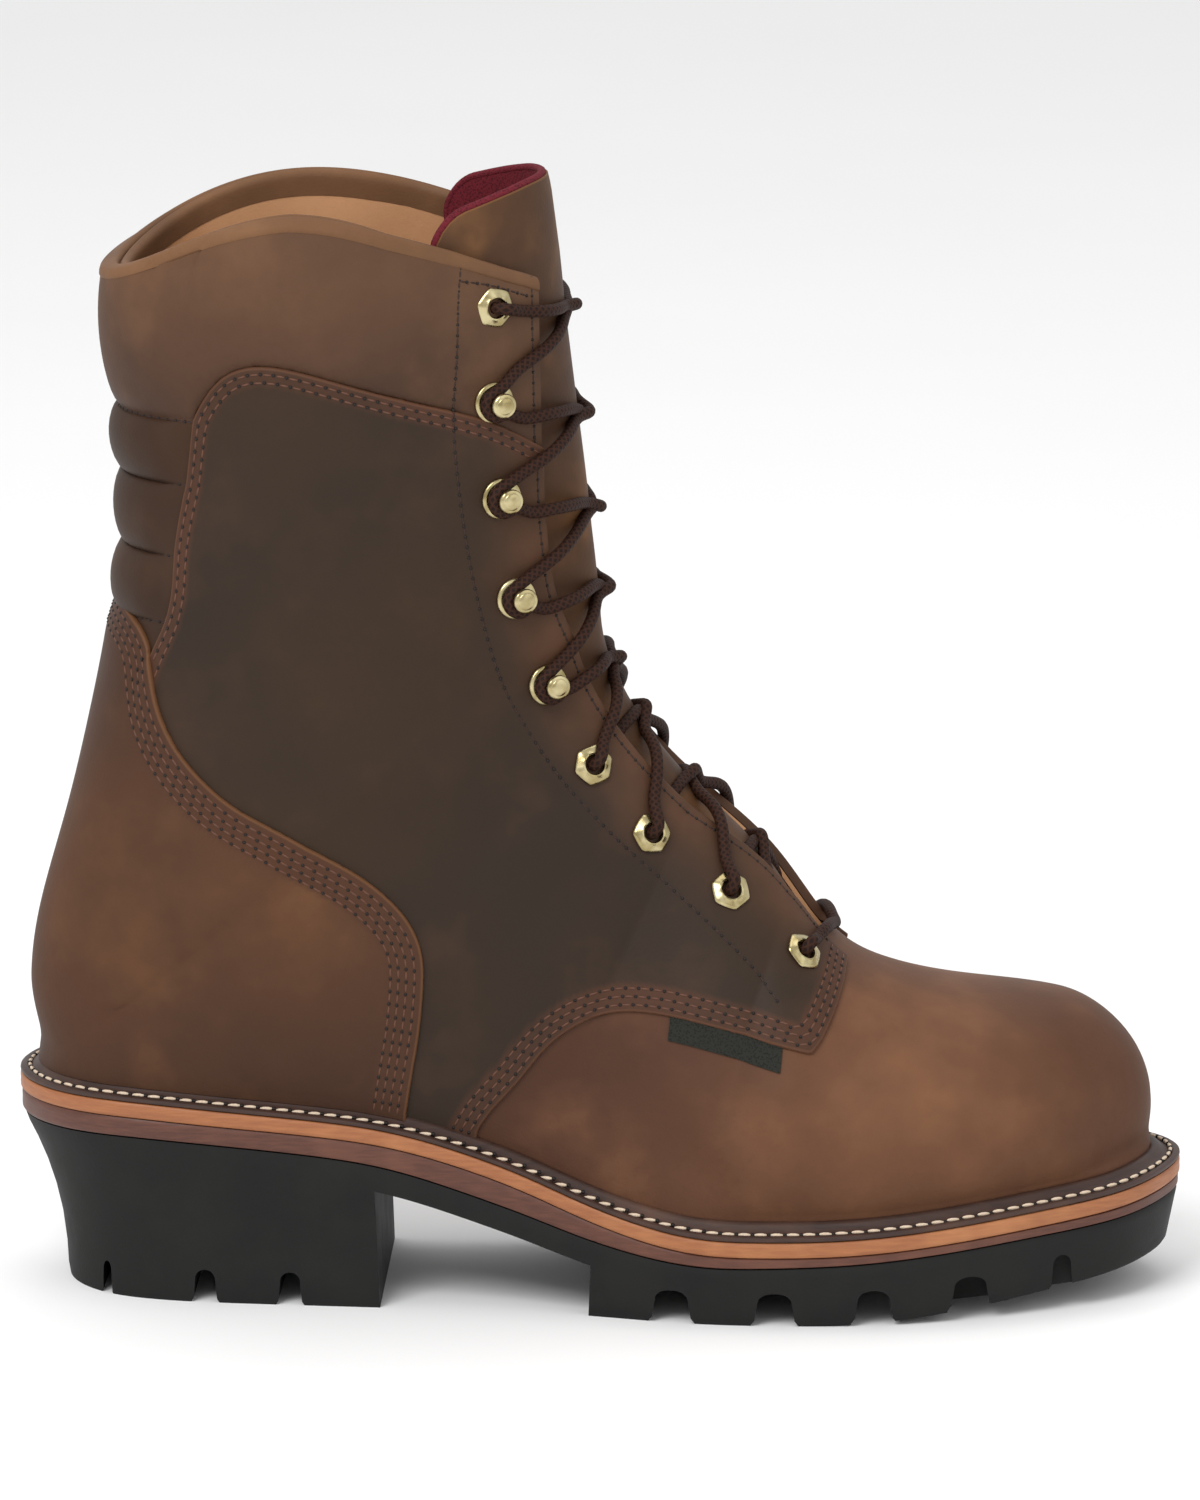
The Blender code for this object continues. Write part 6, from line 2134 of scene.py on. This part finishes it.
def tube(name, path, radius, sides, look, replaces):
    """A capped tube along a path, with a UV map along and round it."""
    ahead = np.gradient(path, axis=0)
    ahead /= np.linalg.norm(ahead, axis=1)[:, None]
    across = np.zeros_like(path)
    across[0] = np.cross(ahead[0], [0.3, 0.5, 0.8])
    for i in range(len(path)):
        previous = across[max(i - 1, 0)]
        across[i] = previous - ahead[i] * (previous @ ahead[i])
        across[i] /= np.linalg.norm(across[i])
    other = np.cross(ahead, across)
    angles = math.tau * np.arange(sides) / sides
    rings = path[:, None] + radius * (
        across[:, None] * np.cos(angles)[None, :, None] + other[:, None] * np.sin(angles)[None, :, None]
    )
    count = len(path)
    faces = []
    for i in range(count - 1):
        faces += hoop(i * sides, (i + 1) * sides, sides)
    faces += [tuple(range(sides)), tuple(range((count - 1) * sides, count * sides))]
    piece = new_mesh(name, rings.reshape(-1, 3), faces, look, replaces)
    recalc_outward(piece)
    length = lengths_along(path)
    uv = piece.data.uv_layers.new(name="braid")
    for face in piece.data.polygons:
        corners = [piece.data.loops[i].vertex_index for i in face.loop_indices]
        wraps = {v % sides for v in corners} == {0, sides - 1}
        for loop, v in zip(face.loop_indices, corners):
            around = sides if wraps and v % sides == 0 else v % sides
            uv.data[loop].uv = (length[v // sides] / BRAID_PITCH, BRAID_ROUND * around / sides)
    return piece


def build_lace():
    outer, inner = lace_half(-1), lace_half(1)
    middle = [lace_point(BAR_ROW, 0.0, BAR_LIFT)]
    path = smooth_path(outer[::-1] + middle + inner, 0.8 * MM)
    nodes = ["lace_bar"] + [f"lace_crossing_{k}" for k in range(1, len(STOPS))]
    tube("lace", path, LACE_RADIUS, 14, waxed_cord, nodes)


# Stage, lights and camera
FLOOR_HALF = 6
WORLD_LIGHT = 0.82


def build_stage():
    """A pale floor and an even white world."""
    finish = Finish("studio_floor", 0.9, specular=0.1)
    finish.done(finish.mix(finish.noise(3.0), colour("F4F4F4"), colour("F8F8F8")))
    mesh = bpy.data.meshes.new("floor")
    corners = [(x * FLOOR_HALF, y * FLOOR_HALF, 0) for x, y in ((-1, -1), (1, -1), (1, 1), (-1, 1))]
    mesh.from_pydata(corners, [], [(0, 1, 2, 3)])
    floor = placed("floor", mesh)
    mesh.materials.append(finish.material)
    world = bpy.data.worlds.new("studio")
    bpy.context.scene.world = world
    world.use_nodes = True
    world.node_tree.nodes["Background"].inputs["Color"].default_value = (1, 1, 1, 1)
    world.node_tree.nodes["Background"].inputs["Strength"].default_value = WORLD_LIGHT
    bpy.context.scene.view_settings.view_transform = "Standard"


Lamp = namedtuple("Lamp", "name place size power")
LAMPS = [
    Lamp("key", (-0.7, -1.4, 1.7), 1.0, 27.0),
    Lamp("fill", (1.5, -1.2, 0.9), 1.4, 4.0),
    Lamp("top", (0.1, 0.5, 2.2), 1.2, 7.0),
]
LAMP_AIM = (0, 0, 0.13)


def build_lights():
    for lamp in LAMPS:
        light = bpy.data.lights.new(lamp.name, "AREA")
        light.size = lamp.size
        light.energy = lamp.power
        holder = placed(lamp.name, light)
        holder.location = lamp.place
        aim = Vector(LAMP_AIM) - Vector(lamp.place)
        holder.rotation_euler = aim.to_track_quat("-Z", "Y").to_euler()


CAMERA_TURN = 2.0
CAMERA_RISE = 12.5
CAMERA_AWAY = 2.4
CAMERA_AIM = (0.0, 0.0, 0.1457)
CAMERA_PIXELS = 8945.0
FRAME_HEIGHT = 1500


def build_camera():
    data = bpy.data.cameras.new("camera")
    camera = placed("camera", data)
    bpy.context.scene.camera = camera
    turn, rise = math.radians(CAMERA_TURN), math.radians(CAMERA_RISE)
    back = Vector((math.sin(turn) * math.cos(rise), -math.cos(turn) * math.cos(rise), math.sin(rise)))
    camera.location = Vector(CAMERA_AIM) + back * CAMERA_AWAY
    camera.rotation_euler = back.to_track_quat("Z", "Y").to_euler()
    data.sensor_width = 36
    data.lens = CAMERA_PIXELS / FRAME_HEIGHT * data.sensor_width
    data.clip_end = 20


def main():
    build_camera()
    skin = build_skin()
    build_upper(skin)
    build_lining(skin)
    build_binding(skin)
    build_tongue()
    build_label(skin)
    build_sole()
    build_outsole()
    build_stitches(skin)
    build_hardware()
    build_lace()
    build_stage()
    build_lights()


main()
